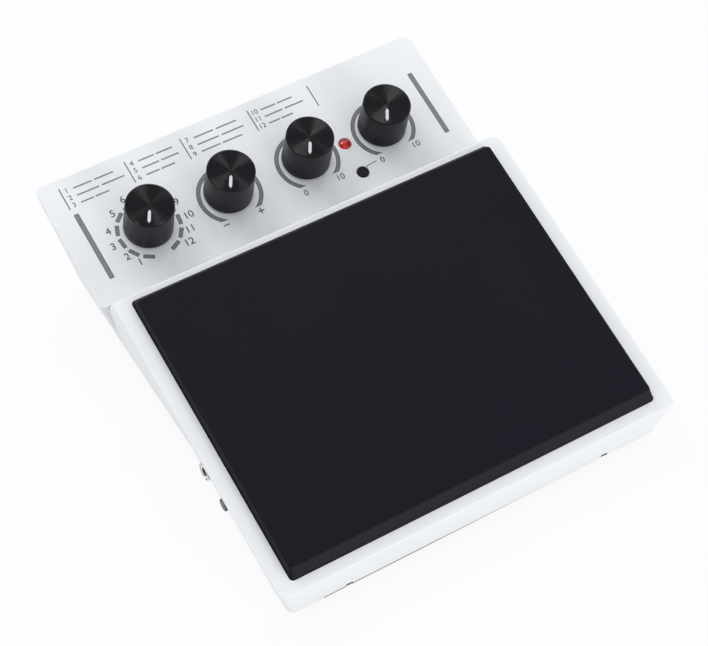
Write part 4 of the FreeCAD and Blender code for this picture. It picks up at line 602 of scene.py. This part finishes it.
class Bench:
    """Modelling steps shared by the pieces."""

    @staticmethod
    def clear() -> None:
        """Leaves edit mode and deselects everything."""
        if bpy.context.mode != "OBJECT":
            bpy.ops.object.mode_set(mode="OBJECT")
        bpy.ops.object.select_all(action="DESELECT")

    @classmethod
    def take(cls, *objects: Item) -> None:
        """Selects these objects only, the first one active."""
        cls.clear()
        for item in objects:
            item.select_set(True)
        bpy.context.view_layer.objects.active = objects[0]

    @classmethod
    @contextmanager
    def editing(cls, item: Item) -> Iterator[None]:
        """Edit mode on one object, with nothing selected at the start.

        Args:
            item: The object.
        """
        cls.take(item)
        bpy.ops.object.mode_set(mode="EDIT")
        bpy.ops.mesh.select_mode(type="FACE")
        bpy.ops.mesh.select_all(action="DESELECT")
        yield
        bpy.ops.object.mode_set(mode="OBJECT")

    @staticmethod
    def pick(item: Item, test: Callable[[Any], bool], kind: str = "FACE") -> None:
        """Selects the faces or edges that pass a test, and nothing else.

        Args:
            item: Object in edit mode.
            test: Takes a bmesh face or edge.
            kind: FACE or EDGE.
        """
        bpy.ops.mesh.select_mode(type=kind)
        bpy.ops.mesh.select_all(action="DESELECT")
        mesh = bmesh.from_edit_mesh(item.data)
        for part in mesh.faces if kind == "FACE" else mesh.edges:
            if test(part):
                part.select_set(True)
        bmesh.update_edit_mesh(item.data)

    @classmethod
    def modifier(cls, item: Item, kind: str, **settings: Any) -> None:
        """Adds a modifier and applies it.

        Args:
            item: Object that it changes.
            kind: Its type.
            settings: What it is set to.
        """
        cls.take(item)
        made = item.modifiers.new(kind.lower(), kind)
        for key, value in settings.items():
            setattr(made, key, value)
        bpy.ops.object.modifier_apply(modifier=made.name)

    @classmethod
    def soften(cls, item: Item, width: float, angle: float = 34.0, segments: int = 2) -> None:
        """Rounds the sharp edges by a width in metres."""
        cls.modifier(item, "BEVEL", width=width, segments=segments, limit_method="ANGLE",
                     angle_limit=math.radians(angle), use_clamp_overlap=True,
                     miter_outer="MITER_ARC", loop_slide=True)

    @classmethod
    def smooth(cls, item: Item, angle: float = 34.0, weighted: bool = True) -> None:
        """Shades an object smooth.

        Args:
            item: The object.
            angle: Degrees from which an edge stays sharp.
            weighted: Whether large flat faces are kept flat.
        """
        cls.take(item)
        bpy.ops.object.shade_smooth_by_angle(angle=math.radians(angle))
        if weighted:
            cls.modifier(item, "WEIGHTED_NORMAL", keep_sharp=True, weight=60)

    @classmethod
    def settle(cls, item: Item, matrix: Matrix | None = None) -> None:
        """Puts an object's place into its mesh.

        Args:
            item: The object.
            matrix: A further move, made first.
        """
        cls.take(item)
        if matrix is not None:
            item.matrix_world = matrix @ item.matrix_world
        bpy.ops.object.transform_apply(location=True, rotation=True, scale=True)

    @classmethod
    def fresh(cls, kind: str, **options: Any) -> Item:
        """Adds one of Blender's primitives.

        Args:
            kind: Its kind.
            options: What Blender's operator takes.

        Returns:
            The object, with its place in the mesh.
        """
        cls.clear()
        getattr(bpy.ops.mesh, f"primitive_{kind}_add")(**options)
        item = bpy.context.active_object
        cls.settle(item)
        return item

    @classmethod
    def copy(cls, item: Item) -> Item:
        """Copies an object with its mesh.

        Args:
            item: The object.

        Returns:
            The copy.
        """
        cls.take(item)
        bpy.ops.object.duplicate()
        return bpy.context.view_layer.objects.active

    @classmethod
    def join(cls, items: list[Item]) -> Item:
        """Joins several objects into one.

        Args:
            items: The objects.

        Returns:
            The first of them, which holds them all.
        """
        cls.take(*items)
        bpy.ops.object.join()
        return items[0]

    @staticmethod
    def inset(width: float = 0.001, depth: float = 0.0) -> None:
        """Insets the picked faces and raises them, both in millimetres."""
        bpy.ops.mesh.inset(thickness=width * MM, depth=depth * MM)


class Dress:
    """Gives finished pieces their material and body, and hides the frame nodes that they stand
    for.
    """
    made: dict[str, bpy.types.Material] = {}

    @classmethod
    def material(cls, finish: Finish) -> bpy.types.Material:
        """The finish's material, made once."""
        if finish.name not in cls.made:
            cls.made[finish.name] = finish.material()
        return cls.made[finish.name]

    @classmethod
    def piece(cls, item: Item, name: str, finish: Finish, *nodes: str,
              body: str = Body.CASE.value) -> Item:
        """Finishes a piece.

        Args:
            item: Its object, with its place in the mesh.
            name: Name of the piece.
            finish: Finish that it shows, which knows its slot.
            nodes: Frame nodes that it stands for.
            body: Body that it rides on.

        Returns:
            The piece.
        """
        item.name = item.data.name = name
        item.data.materials.clear()
        item.data.materials.append(cls.material(finish))
        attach(item, body)
        if nodes:
            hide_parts(*nodes)
        log.info("%s: %d faces", name, len(item.data.polygons))
        return item


@dataclass(frozen=True)
class Deck:
    """The sloping deck's own frame, in millimetres."""
    tilt: float = TILT
    front_y: float = -92.22
    front_z: float = 21.7
    panel: float = -18.0
    pad_width: float = 155.7
    pad_length: float = 122.0
    panel_start: float = 132.8
    knob_row: float = 156.1
    knob_pitch: float = 35.0

    def matrix(self, u: float = 0.0, v: float = 0.0, w: float = 0.0,
               turn: float = 0.0) -> Matrix:
        """Takes a flat drawing in metres to its place on the deck, turned in the plane."""
        return (Matrix.Translation((0.0, self.front_y * MM, self.front_z * MM))
                @ Matrix.Rotation(math.radians(self.tilt), 4, "X")
                @ Matrix.Translation((u * MM, v * MM, w * MM))
                @ Matrix.Rotation(math.radians(turn), 4, "Z"))

    def knob_places(self) -> list[float]:
        """Places across of the four dials."""
        return [self.knob_pitch * step for step in (-1.5, -0.5, 0.5, 1.5)]


DECK = Deck()


# Pieces copied from the frame


@dataclass(frozen=True)
class Carried:
    """A rigid frame node whose edges are softened and surface finished."""
    node: str
    finish: Finish
    edge_mm: float = 0.12
    body: str = Body.CASE.value
    angle: float = 34.0
    weld: float = 2e-6
    flat: float = 0.4

    def build(self) -> Item:
        """Copies the node, merges it, rounds its edges and dresses it.

        Returns:
            The piece.
        """
        item = Bench.copy(frame["nodes"][self.node])
        item.parent = None
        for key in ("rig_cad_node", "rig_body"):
            if key in item:
                del item[key]
        item.hide_render = item.hide_viewport = False
        with Bench.editing(item):
            bpy.ops.mesh.select_all(action="SELECT")
            bpy.ops.mesh.remove_doubles(threshold=self.weld)
            bpy.ops.mesh.dissolve_limited(angle_limit=math.radians(self.flat))
        if self.edge_mm > 0:
            Bench.soften(item, self.edge_mm * MM, self.angle)
        Bench.smooth(item, self.angle)
        return Dress.piece(item, f"{self.node}_skin", self.finish, self.node, body=self.body)


# Playing pad


@dataclass
class PlayingPad:
    """Rubber playing pad with bevelled edges, and the foam below its plate."""
    rise: float = 4.0
    sink: float = 1.4
    corner: float = 1.4
    side: float = 0.7
    front: float = 3.0
    rear: float = 2.1
    edge: float = 0.3
    soft_edges: tuple[tuple[str, float], ...] = (("pad_foam", 1.2), ("sensor_cushion", 1.4))

    def build(self) -> None:
        """Models the pad flat and tilts it onto the deck."""
        wide, long = DECK.pad_width * MM, DECK.pad_length * MM
        tall = (self.rise + self.sink) * MM
        item = Bench.fresh("cube", size=1, scale=(wide, long, tall),
                           location=(0, long / 2, (self.rise - self.sink) / 2 * MM))
        with Bench.editing(item):
            Bench.pick(item, lambda edge: abs((edge.verts[0].co - edge.verts[1].co).z) > 1e-4,
                       "EDGE")
            bpy.ops.mesh.bevel(offset=self.corner * MM, segments=10, affect="EDGES")
            bpy.ops.mesh.select_all(action="SELECT")
            bpy.ops.mesh.bisect(plane_co=(0, 0, 0), plane_no=(0, 0, 1))
            Bench.pick(item, lambda face: face.normal.z > 0.9)
            narrower = (wide - 2 * self.side * MM) / wide
            shorter = (long - (self.front + self.rear) * MM) / long
            bpy.ops.transform.resize(value=(narrower, shorter, 1),
                                     center_override=(0, long / 2, 0))
            bpy.ops.transform.translate(value=(0, (self.front - self.rear) / 2 * MM, 0))
        Bench.soften(item, self.edge * MM, 24.0, 4)
        Bench.smooth(item, 40.0)
        Bench.settle(item, DECK.matrix())
        Dress.piece(item, "playing_pad", PAD_RUBBER, "pad_rubber")

    def soft_parts(self) -> None:
        """Foam sheet and sensor cushion, with rounded edges."""
        for node, edge in self.soft_edges:
            Carried(node, FOAM, edge).build()


# Dials


@dataclass
class Dial:
    """Tall round knob with a finely turned top and a pale pointer."""
    radius: float = 9.81
    taper: float = 0.25
    height: float = 16.2
    rim: float = 0.55
    rim_drop: float = 0.8
    gap: float = 1.0
    wall: float = 1.5
    roof: float = 2.2
    hub: float = 5.0
    hub_low: float = 3.1
    rings: int = 26
    turned: float = 0.985
    slope: float = 9.0
    around: int = 112
    turn: float = 150.0
    pointer_start: float = 1.9
    pointer_end: float = 7.9
    pointer_width: float = 1.25
    pointer_tip: float = 1.05
    pointer_depth: float = 0.8
    pointer_sink: float = 0.36
    pointer_edge: float = 0.1

    def knob(self) -> Item:
        """Models one knob.

        Returns:
            The knob, standing on the origin.
        """
        item = Bench.fresh("cylinder", vertices=self.around, radius=self.radius * MM,
                           depth=self.height * MM, location=(0, 0, self.height / 2 * MM))
        top = self.height * MM
        with Bench.editing(item):
            Bench.pick(item, lambda face: face.normal.z > 0.9)
            share = (self.radius - self.taper) / self.radius
            bpy.ops.transform.resize(value=(share, share, 1), center_override=(0, 0, top))
            Bench.pick(item, lambda face: face.normal.z > 0.9)
            Bench.inset(self.rim)
            Bench.pick(item, lambda edge: all(
                vertex.co.z > top - 1e-6 and vertex.co.xy.length
                > (self.radius - self.taper) * MM - 1e-5 for vertex in edge.verts), "EDGE")
            bpy.ops.transform.translate(value=(0, 0, -self.rim * self.rim_drop * MM))
            self.turn_grooves(item)
            self.hollow(item)
        Bench.smooth(item, 20.0, weighted=False)
        return item

    def turn_grooves(self, item: Item) -> None:
        """Cuts the fine round grooves of a turned face by repeated small insets.

        Args:
            item: The knob in edit mode.
        """
        Bench.pick(item, lambda face: face.normal.z > 0.9 and len(face.verts) > 8)
        face_radius = self.radius - self.taper - self.rim
        pitch = face_radius * self.turned / self.rings
        depth = pitch * math.tan(math.radians(self.slope)) / 2
        for _ in range(self.rings):
            for step in (-0.5, -0.5, 0.5, 0.5):
                Bench.inset(pitch / 4, step * depth)

    def hollow(self, item: Item) -> None:
        """Hollows the knob from below and leaves its hub.

        Args:
            item: The knob in edit mode.
        """
        Bench.pick(item, lambda face: face.normal.z < -0.9)
        Bench.inset(self.wall)
        deep = self.height - self.roof
        Bench.inset(depth=-deep)
        Bench.inset(self.radius - self.wall - self.hub)
        Bench.inset(depth=deep - self.hub_low)

    def pointer(self) -> Item:
        """Models the long six-sided mark let into the knob's top.

        Returns:
            The mark, in its place on the knob.
        """
        long = self.pointer_end - self.pointer_start
        middle = (self.pointer_start + long / 2) * MM
        wide = self.pointer_width / 2 / math.cos(math.radians(30))
        item = Bench.fresh("cylinder", vertices=6, radius=1, depth=1,
                           location=(0, middle, (self.height - self.pointer_sink) * MM),
                           scale=(wide * MM, long / 2 * MM, self.pointer_depth * MM))
        shoulder = (long / 4 - self.pointer_tip) * MM
        with Bench.editing(item):
            for side in (-1, 1):
                Bench.pick(item, lambda edge, side=side: all(
                    abs(vertex.co.x) > 1e-4 and side * (vertex.co.y - middle) > 1e-4
                    for vertex in edge.verts), "EDGE")
                bpy.ops.transform.translate(value=(0, side * shoulder, 0))
        Bench.soften(item, self.pointer_edge * MM, 30.0)
        Bench.smooth(item, 30.0)
        return item

    def build(self) -> None:
        """Models one knob and one pointer, and copies them to the four places."""
        sources = ((self.knob(), "knob", KNOB), (self.pointer(), "pointer", POINTER))
        for name, across in zip(DIALS, DECK.knob_places()):
            place = DECK.matrix(across, DECK.knob_row, DECK.panel + self.gap, self.turn)
            for source, kind, finish in sources:
                item = Bench.copy(source)
                Bench.settle(item, place)
                Dress.piece(item, f"{name}_{kind}_finished", finish, f"{name}_{kind}",
                            body=f"{name}_dial")
        for source, *_ in sources:
            bpy.data.objects.remove(source)


# Printing on the panel


@dataclass
class PanelPrint:
    """Grey and dark printing on the control panel: scales, bars, numbers and rules.

    Sizes and places are in the deck's millimetres and angles in degrees, turned to the left.
    Signs and ends are placed across from their dial and up from the pad's front edge, and a
    type is its size and its added weight.
    """
    ink: float = 0.03
    second_ink: float = 0.01
    sink: float = 0.005
    rounding: float = 0.18
    ring_shift: float = 0.4
    ring_drop: float = 0.75
    ring_outer: float = 13.2
    ring_inner: float = 11.5
    ring_cut: float = 9.85
    outline: float = 0.28
    dash_shift: float = 0.1
    dash_drop: float = 0.7
    dash_ring: float = 12.35
    dash_start: float = 152.4
    dash_step: float = 27.7
    dash_length: float = 4.5
    dash_width: float = 1.65
    dash_border: Pair = (0.5, 0.45)
    number_drop: float = 0.45
    number_type: Pair = (4.3, 0.05)
    number_ring: tuple[float, ...] = (15.3, 15.2, 16.0, 15.6, 15.1, 15.8, 15.8, 15.8, 16.0,
                                      16.6, 16.1, 16.7)
    number_turn: tuple[float, ...] = (141, 120.5, 95.4, 70.6, 40, 12.5, 347.5, 320, 290.3,
                                      264.4, 242.5, 222.4)
    signs: tuple[tuple[float, ...], ...] = (
        (-7.35, 143.6, 2.6, 0.5), (7.9, 143.35, 2.7, 0.5), (7.9, 143.35, 0.5, 2.7))
    ends: tuple[tuple[str, float, float], ...] = (("0", -7.2, 142.6), ("10", 8.6, 143.0))
    end_type: Pair = (3.7, 0.03)
    lead: tuple[Pair, ...] = ((37.84, 142.62), (39.05, 142.97), (42.7, 143.27))
    lead_width: float = 0.34
    lead_overlap: float = 0.2
    bar_across: float = 75.3
    bar_width: float = 2.05
    bar_low: float = 142.3
    bar_high: float = 173.2
    bar_border: Pair = (0.4, 0.4)
    rules: tuple[float, ...] = (-75.95, -47.7, -23.2, 7.1, 34.6)
    rule_low: float = 175.7
    rule_high: float = 186.0
    rule_width: float = 0.42
    legend_shift: float = 2.4
    legend_drop: float = 0.3
    legend_type: Pair = (3.1, 0.02)
    line_shift: float = 5.3
    line_step: float = 3.45
    line_width: float = 0.62
    line_parts: tuple[Pair, ...] = ((0.0, 0.46), (0.52, 0.48))
    lines: tuple[float, ...] = (17.2, 20.4, 12.1, 14.8, 16.0, 12.6, 19.0, 20.6, 18.2, 14.2,
                                17.5, 11.0)
    grey: list[Item] = field(default_factory=list)
    dark: list[Item] = field(default_factory=list)

    def lay(self, item: Item, u: float, v: float, turn: float = 0.0,
            lift: float = 0.0) -> Item:
        """Gives a flat mark its thickness of ink and lays it on the panel.

        Args:
            item: The mark, drawn about the origin.
            u, v: Its place across and up the panel.
            turn: Its angle.
            lift: Thickness beyond that of the ink.

        Returns:
            The mark.
        """
        with Bench.editing(item):
            bpy.ops.mesh.select_all(action="SELECT")
            bpy.ops.mesh.normals_make_consistent(inside=False)
            bpy.ops.mesh.extrude_region_move(
                TRANSFORM_OT_translate={"value": (0, 0, (self.ink + lift) * MM)})
            bpy.ops.mesh.select_all(action="SELECT")
            bpy.ops.mesh.normals_make_consistent(inside=False)
        Bench.settle(item, DECK.matrix(u, v, DECK.panel - self.sink, turn))
        return item

    def bar(self, u: float, v: float, wide: float, high: float, turn: float = 0.0,
            lift: float = 0.0) -> Item:
        """Prints a plain bar with slightly rounded corners.

        Args:
            u, v: Its place across and up the panel.
            wide, high: Its size before it is turned.
            turn: Its angle.
            lift: Thickness beyond that of the ink.

        Returns:
            The bar.
        """
        item = Bench.fresh("plane", size=1)
        item.scale = (wide * MM, high * MM, 1)
        Bench.settle(item)
        with Bench.editing(item):
            bpy.ops.mesh.select_all(action="SELECT")
            bpy.ops.mesh.bevel(offset=min(wide, high) * self.rounding * MM, segments=2,
                               affect="VERTICES")
        return self.lay(item, u, v, turn, lift)

    def outlined(self, u: float, v: float, wide: float, high: float,
                 border: Pair, turn: float = 0.0) -> None:
        """Prints a grey bar on a slightly larger dark one."""
        self.dark.append(self.bar(u, v, wide, high, turn))
        self.grey.append(self.bar(u, v, wide - border[0], high - border[1], turn,
                                  self.second_ink))

    @staticmethod
    def around(u: float, v: float, radius: float, angle: float) -> Pair:
        """A place on a circle, turned to the left from straight up the panel."""
        turn = math.radians(angle)
        return u - radius * math.sin(turn), v + radius * math.cos(turn)

    def ring(self, across: float, outer: float, inner: float,
             lift: float = 0.0) -> Item:
        """Prints a round band about a dial, cut straight across at its open front.

        Args:
            across: The dial's place.
            outer, inner: The band's radii.
            lift: Thickness beyond that of the ink.

        Returns:
            The band.
        """
        item = Bench.fresh("circle", vertices=128, radius=outer * MM, fill_type="NGON")
        with Bench.editing(item):
            bpy.ops.mesh.select_all(action="SELECT")
            Bench.inset(outer - inner)
            bpy.ops.mesh.delete(type="FACE")
            bpy.ops.mesh.select_all(action="SELECT")
            bpy.ops.mesh.bisect(plane_co=(0, -self.ring_cut * MM, 0), plane_no=(0, 1, 0),
                                clear_inner=True)
        return self.lay(item, across + self.ring_shift, DECK.knob_row - self.ring_drop,
                        lift=lift)

    def words(self, text: str, u: float, v: float, size: float,
              weight: float = 0.0) -> Item:
        """Prints a plain number.

        Args:
            text: Its figures.
            u, v: Place of its middle across and up the panel.
            size: Size of the type.
            weight: What makes its strokes bolder.

        Returns:
            The number.
        """
        Bench.clear()
        bpy.ops.object.text_add()
        item = bpy.context.active_object
        item.data.body = text
        item.data.size = size * MM
        item.data.align_x, item.data.align_y = "CENTER", "CENTER"
        item.data.extrude = self.ink / 2 * MM
        item.data.bevel_depth, item.data.bevel_resolution = weight * MM, 0
        item.data.resolution_u = 4
        Bench.take(item)
        bpy.ops.object.convert(target="MESH")
        item.scale = (1, 1, self.ink / (self.ink + 2 * weight))
        Bench.settle(item, DECK.matrix(u, v, DECK.panel + self.ink / 2 - self.sink))
        return item

    def scales(self) -> None:
        """Twelve dashes and numbers at the first dial, and open rings at the others."""
        first, *others = DECK.knob_places()
        for index in range(len(self.number_turn)):
            angle = self.dash_start - self.dash_step * index
            u, v = self.around(first + self.dash_shift, DECK.knob_row - self.dash_drop,
                               self.dash_ring, angle)
            self.outlined(u, v, self.dash_length, self.dash_width, self.dash_border, angle)
        for index, (ring, angle) in enumerate(zip(self.number_ring, self.number_turn)):
            u, v = self.around(first, DECK.knob_row - self.number_drop, ring, angle)
            self.dark.append(self.words(str(index + 1), u, v, *self.number_type))
        for across in others:
            self.dark.append(self.ring(across, self.ring_outer, self.ring_inner))
            self.grey.append(self.ring(across, self.ring_outer - self.outline,
                                       self.ring_inner + self.outline, self.second_ink))

    def marks(self) -> None:
        """Plain signs at the open ends of the rings, and the lead line of the button."""
        _, tune, *levels = DECK.knob_places()
        for shift, v, wide, high in self.signs:
            self.dark.append(self.bar(tune + shift, v, wide, high))
        for across in levels:
            for text, shift, v in self.ends:
                self.dark.append(self.words(text, across + shift, v, *self.end_type))
        for (u0, v0), (u1, v1) in zip(self.lead[:-1], self.lead[1:]):
            self.dark.append(self.bar((u0 + u1) / 2, (v0 + v1) / 2,
                                      math.hypot(u1 - u0, v1 - v0) + self.lead_overlap,
                                      self.lead_width,
                                      math.degrees(math.atan2(v1 - v0, u1 - u0))))

    def legend(self) -> None:
        """Upright rules along the rear with plain numbered lines, and a bar at each side."""
        middle = (self.rule_low + self.rule_high) / 2
        for place in self.rules:
            self.dark.append(self.bar(place, middle, self.rule_width,
                                      self.rule_high - self.rule_low))
        for index, long in enumerate(self.lines):
            column, row = divmod(index, 3)
            left = self.rules[column]
            v = middle + self.line_step * (1 - row) - self.legend_drop
            self.dark.append(self.words(str(index + 1), left + self.legend_shift, v,
                                        *self.legend_type))
            for share, part in self.line_parts:
                self.grey.append(self.bar(left + self.line_shift + (share + part / 2) * long,
                                          v, part * long, self.line_width))
        for side in (-1, 1):
            self.outlined(self.ring_shift + side * self.bar_across,
                          (self.bar_low + self.bar_high) / 2, self.bar_width,
                          self.bar_high - self.bar_low, self.bar_border)

    def build(self) -> None:
        """Prints everything and joins it by ink."""
        self.scales()
        self.marks()
        self.legend()
        for name, items, finish in (("panel_print_grey", self.grey, MARK_GREY),
                                    ("panel_print_dark", self.dark, MARK_DARK)):
            Dress.piece(Bench.join(items), name, finish)


# Lamp and button


@dataclass
class LampAndButton:
    """Domed red lamp and the small dished push button beside the dials."""
    across: float = 35.3
    button_row: float = 141.1
    radius: float = 2.3
    lip: float = 0.9
    proud: float = 0.8
    lip_low: float = -4.4
    lip_gauge: float = 1.5
    dish: tuple[Pair, ...] = ((0.9, 0.0), (0.5, -0.06), (0.5, -0.05))
    edge: float = 0.32
    lamp_edge: float = 0.2

    def button(self) -> None:
        """Models the button: a lipped plug with a rounded, slightly dished top."""
        item = Bench.fresh("cylinder", vertices=64, radius=(self.radius + self.lip) * MM,
                           depth=self.lip_gauge * MM,
                           location=(0, 0, (self.lip_low + self.lip_gauge / 2) * MM))
        rise = self.proud - self.lip_low - self.lip_gauge
        with Bench.editing(item):
            Bench.pick(item, lambda face: face.normal.z > 0.9)
            Bench.inset(self.lip)
            Bench.inset(depth=rise)
            for width, depth in self.dish:
                Bench.inset(width, depth)
        Bench.soften(item, self.edge * MM, 40.0, 4)
        Bench.smooth(item, 40.0)
        Bench.settle(item, DECK.matrix(self.across, self.button_row, DECK.panel))
        Dress.piece(item, "select_button_finished", BUTTON, "select_button",
                    body=Body.BUTTON.value)

    def build(self) -> None:
        """Makes both."""
        Carried("lamp", LENS, self.lamp_edge, angle=20.0).build()
        self.button()


# Case, sockets, boards and underside


def inner_finishes() -> tuple[Circuit, Circuit, Jacket]:
    """Fits the finishes of the boards and cells to the frame.

    Returns:
        Those of the flat boards, the tilted board and the cells.
    """
    skin, panel_middle, panel_face = 0.03 * MM, -27.5, -1.6 * MM
    band_start, past_end = 36.0 * MM, 10.0 * MM
    front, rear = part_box("cell_1")
    return (Circuit("main_board_faces", Slot.BOARD_GREEN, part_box("jack_board")[1].z - skin),
            Circuit("panel_board_faces", Slot.BOARD_GREEN, low=panel_face, tilt=DECK.tilt,
                    centre=tuple(DECK.matrix(0, DECK.knob_row, panel_middle).translation)),
            Jacket("cell_sleeve", Slot.CELL_JACKET, front.y + band_start, rear.y + past_end))


def carried_parts() -> list[Carried]:
    """Lists every rigid node that keeps the frame's form.

    Returns:
        The nodes, each with its finish and edge.
    """
    main, panel, jacket = inner_finishes()
    groups = (
        (WHITE, 0.2, "top_cover"),
        (MATT_BLACK, 0.15, "battery_holder"),
        (MATT_BLACK, 0.2, "bottom_plate"),
        (STEEL, 0.2, "pad_plate"),
        (DARK_STEEL, 0.08, "case_screws"),
        (DARK_STEEL, 0.1, "side_screws"),
        (BRASS, 0.05, "sensor_disc"),
        (BRASS, 0.1, "clamp_inserts"),
        (CREAM, 0.1, "ribbon_cable"),
        (panel, 0.0, "panel_board"),
        (main, 0.0, "jack_board"),
        (main, 0.05, "main_board"),
        (ZINC, 0.08, "board_screws"),
        (ZINC, 0.1, "usb_socket"),
        (ZINC, 0.15, "control_nuts", *(f"{name}_control" for name in DIALS)),
        (NICKEL, 0.05, "battery_contacts"),
        (NICKEL, 0.1, "phones_jack"),
        (NICKEL, 0.12, "phones_nut"),
        (NICKEL, 0.15, "jack_nuts"),
        (SOCKET_BLACK, 0.0, "sensor_lead"),
        (SOCKET_BLACK, 0.08, "button_switch"),
        (SOCKET_BLACK, 0.1, "mix_jack", "power_switch"),
        (SOCKET_BLACK, 0.15, "power_inlet", "output_jack_right", "output_jack_left",
         "trigger_jack"),
        (jacket, 0.25, *(f"cell_{index}" for index in range(1, 5))),
        (FOOT_RUBBER, 0.3, *(f"foot_{along}_{side}" for along in ("front", "rear")
                             for side in ("left", "right"))))
    parts = [Carried(node, finish, edge) for finish, edge, *nodes in groups for node in nodes]
    parts += [Carried(f"{name}_shaft", BRASS, 0.1, f"{name}_dial") for name in DIALS]
    return parts + [Carried("switch_plunger", GREY, 0.08, Body.BUTTON.value),
                    Carried("power_slider", MATT_BLACK, 0.15, Body.SLIDER.value),
                    Carried("battery_door", MATT_BLACK, 0.2, Body.DOOR.value)]


@dataclass
class NotchTongues:
    """Dark tongues of black plastic, put in the two notches at the front foot in place of their
    shade.
    """
    wide: float = 2.2
    front: float = -94.05
    rear: float = -92.6
    low: float = FOOT + 0.05
    high: float = FOOT + 1.9
    edge: float = 0.12

    def build(self) -> None:
        """Models both as one piece."""
        # Painted shade: solid dark blocks fill the notches where shade falls
        blocks = []
        for across in (-NOTCH_ACROSS, NOTCH_ACROSS):
            item = Bench.fresh("cube", size=1,
                               location=(across * MM, (self.front + self.rear) / 2 * MM,
                                         (self.low + self.high) / 2 * MM),
                               scale=(self.wide * MM, (self.rear - self.front) * MM,
                                      (self.high - self.low) * MM))
            Bench.soften(item, self.edge * MM)
            blocks.append(item)
        item = Bench.join(blocks)
        Bench.smooth(item)
        Dress.piece(item, "notch_tongues", MATT_BLACK)


# Floor, lamps and camera


@dataclass
class Studio:
    """Pale floor, soft lamps and the camera of the photograph."""
    camera_place: Place = (-260.2, -443.62, 660.5)
    camera_aim: Place = (1.05, -1.88, 19.07)
    lens: float = 108.27
    sensor: float = 36.0
    clip: Pair = (0.01, 20.0)
    floor_size: float = 6.0
    floor_gap: float = 0.0001
    floor_colour: Colour = (0.82, 0.82, 0.82)
    floor_shine: float = 0.9
    white: Colour = (1.0, 1.0, 1.0)
    sky: Colour = (0.965, 0.98, 1.0)
    sky_rise: Pair = (0.05, 0.75)
    low_sky: float = 1.0
    high_sky: float = 0.66
    lamps: tuple[tuple[str, Place, float, float], ...] = (
        ("rear_right", (0.68, 1.475, 2.52), 6.0, 0.4),
        ("right", (1.50, 0.99, 2.40), 5.4, 0.4),
        ("rear", (-0.35, 1.0, 1.2), 6.6, 0.7),
        ("front", (0.30, -1.2, 0.30), 4.3, 0.45),
        ("left", (-0.95, -0.32, 0.58), 0.6, 0.17))

    def floor(self) -> None:
        """A wide pale floor that shows a plain white and keeps a soft shadow."""
        item = Bench.fresh("plane", size=self.floor_size, location=(0, 0, -self.floor_gap))
        item.name = "studio_floor"
        paint = Paint("studio_floor_white")
        paint.set(Base_Color=self.floor_colour, Roughness=0.9, Specular_IOR_Level=0.1)
        ray = paint.node("ShaderNodeLightPath")
        camera, glossy, through = (Value(paint, ray.outputs[f"Is {kind} Ray"])
                                   for kind in ("Camera", "Glossy", "Transmission"))
        seen = (camera + glossy + through).clamped()
        glow = paint.node("ShaderNodeEmission", {}, {"Color": self.white, "Strength": 1.0})
        both = paint.node("ShaderNodeMixShader", {}, {
            0: seen * self.floor_shine, 1: paint.shader.outputs[0], 2: glow.outputs[0]})
        paint.tree.links.new(both.outputs[0], paint.output.inputs[0])
        item.data.materials.append(paint.material)

    def world(self) -> None:
        """Studio surround, paler near the horizon than overhead."""
        world = bpy.data.worlds.new("studio")
        world.use_nodes = True
        bpy.context.scene.world = world
        nodes = Nodes(world.node_tree)
        back = world.node_tree.nodes["Background"]
        up = nodes.part(nodes.node("ShaderNodeTexCoord").outputs["Generated"], "Z")
        strength = self.low_sky - up.rise(*self.sky_rise) * (self.low_sky - self.high_sky)
        nodes.feed(back.inputs["Color"], self.sky)
        nodes.feed(back.inputs["Strength"], strength)

    @staticmethod
    def stand(data: bpy.types.ID, place: Vector, aim: Vector) -> Item:
        """Stands a lamp or camera at its place.

        Args:
            data: The light or camera, whose name the object takes.
            place: Its place in metres.
            aim: Point that it faces.

        Returns:
            The object.
        """
        item = bpy.data.objects.new(data.name, data)
        bpy.context.scene.collection.objects.link(item)
        item.location = place
        item.rotation_euler = (aim - place).to_track_quat("-Z", "Y").to_euler()
        return item

    def lamp(self, name: str, place: Place, power: float, size: float) -> None:
        """Adds a square soft lamp that faces the object.

        Args:
            name: Its name.
            place: Its place in metres.
            power: Its power in watts.
            size: Its side in metres.
        """
        data = bpy.data.lights.new(name, "AREA")
        data.energy, data.size, data.shape = power, size, "SQUARE"
        self.stand(data, Vector(place), Vector())

    def camera(self) -> None:
        """The photograph's own view."""
        data = bpy.data.cameras.new("photo_camera")
        data.lens, data.sensor_width, data.sensor_fit = self.lens, self.sensor, "HORIZONTAL"
        data.clip_start, data.clip_end = self.clip
        bpy.context.scene.camera = self.stand(data, Vector(self.camera_place) * MM,
                                              Vector(self.camera_aim) * MM)

    def build(self) -> None:
        """Sets the whole studio."""
        bpy.context.scene.view_settings.view_transform = "Standard"
        self.floor()
        self.world()
        for lamp in self.lamps:
            self.lamp(*lamp)
        self.camera()


def main() -> None:
    """Builds the object in order and reports each piece."""
    logging.basicConfig(level=logging.INFO, format="%(name)s %(message)s")
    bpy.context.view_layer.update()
    Studio().build()
    for part in carried_parts():
        part.build()
    PlayingPad().build()
    PlayingPad().soft_parts()
    Dial().build()
    PanelPrint().build()
    LampAndButton().build()
    NotchTongues().build()
    bpy.context.view_layer.update()


if __name__ == "__main__":
    main()
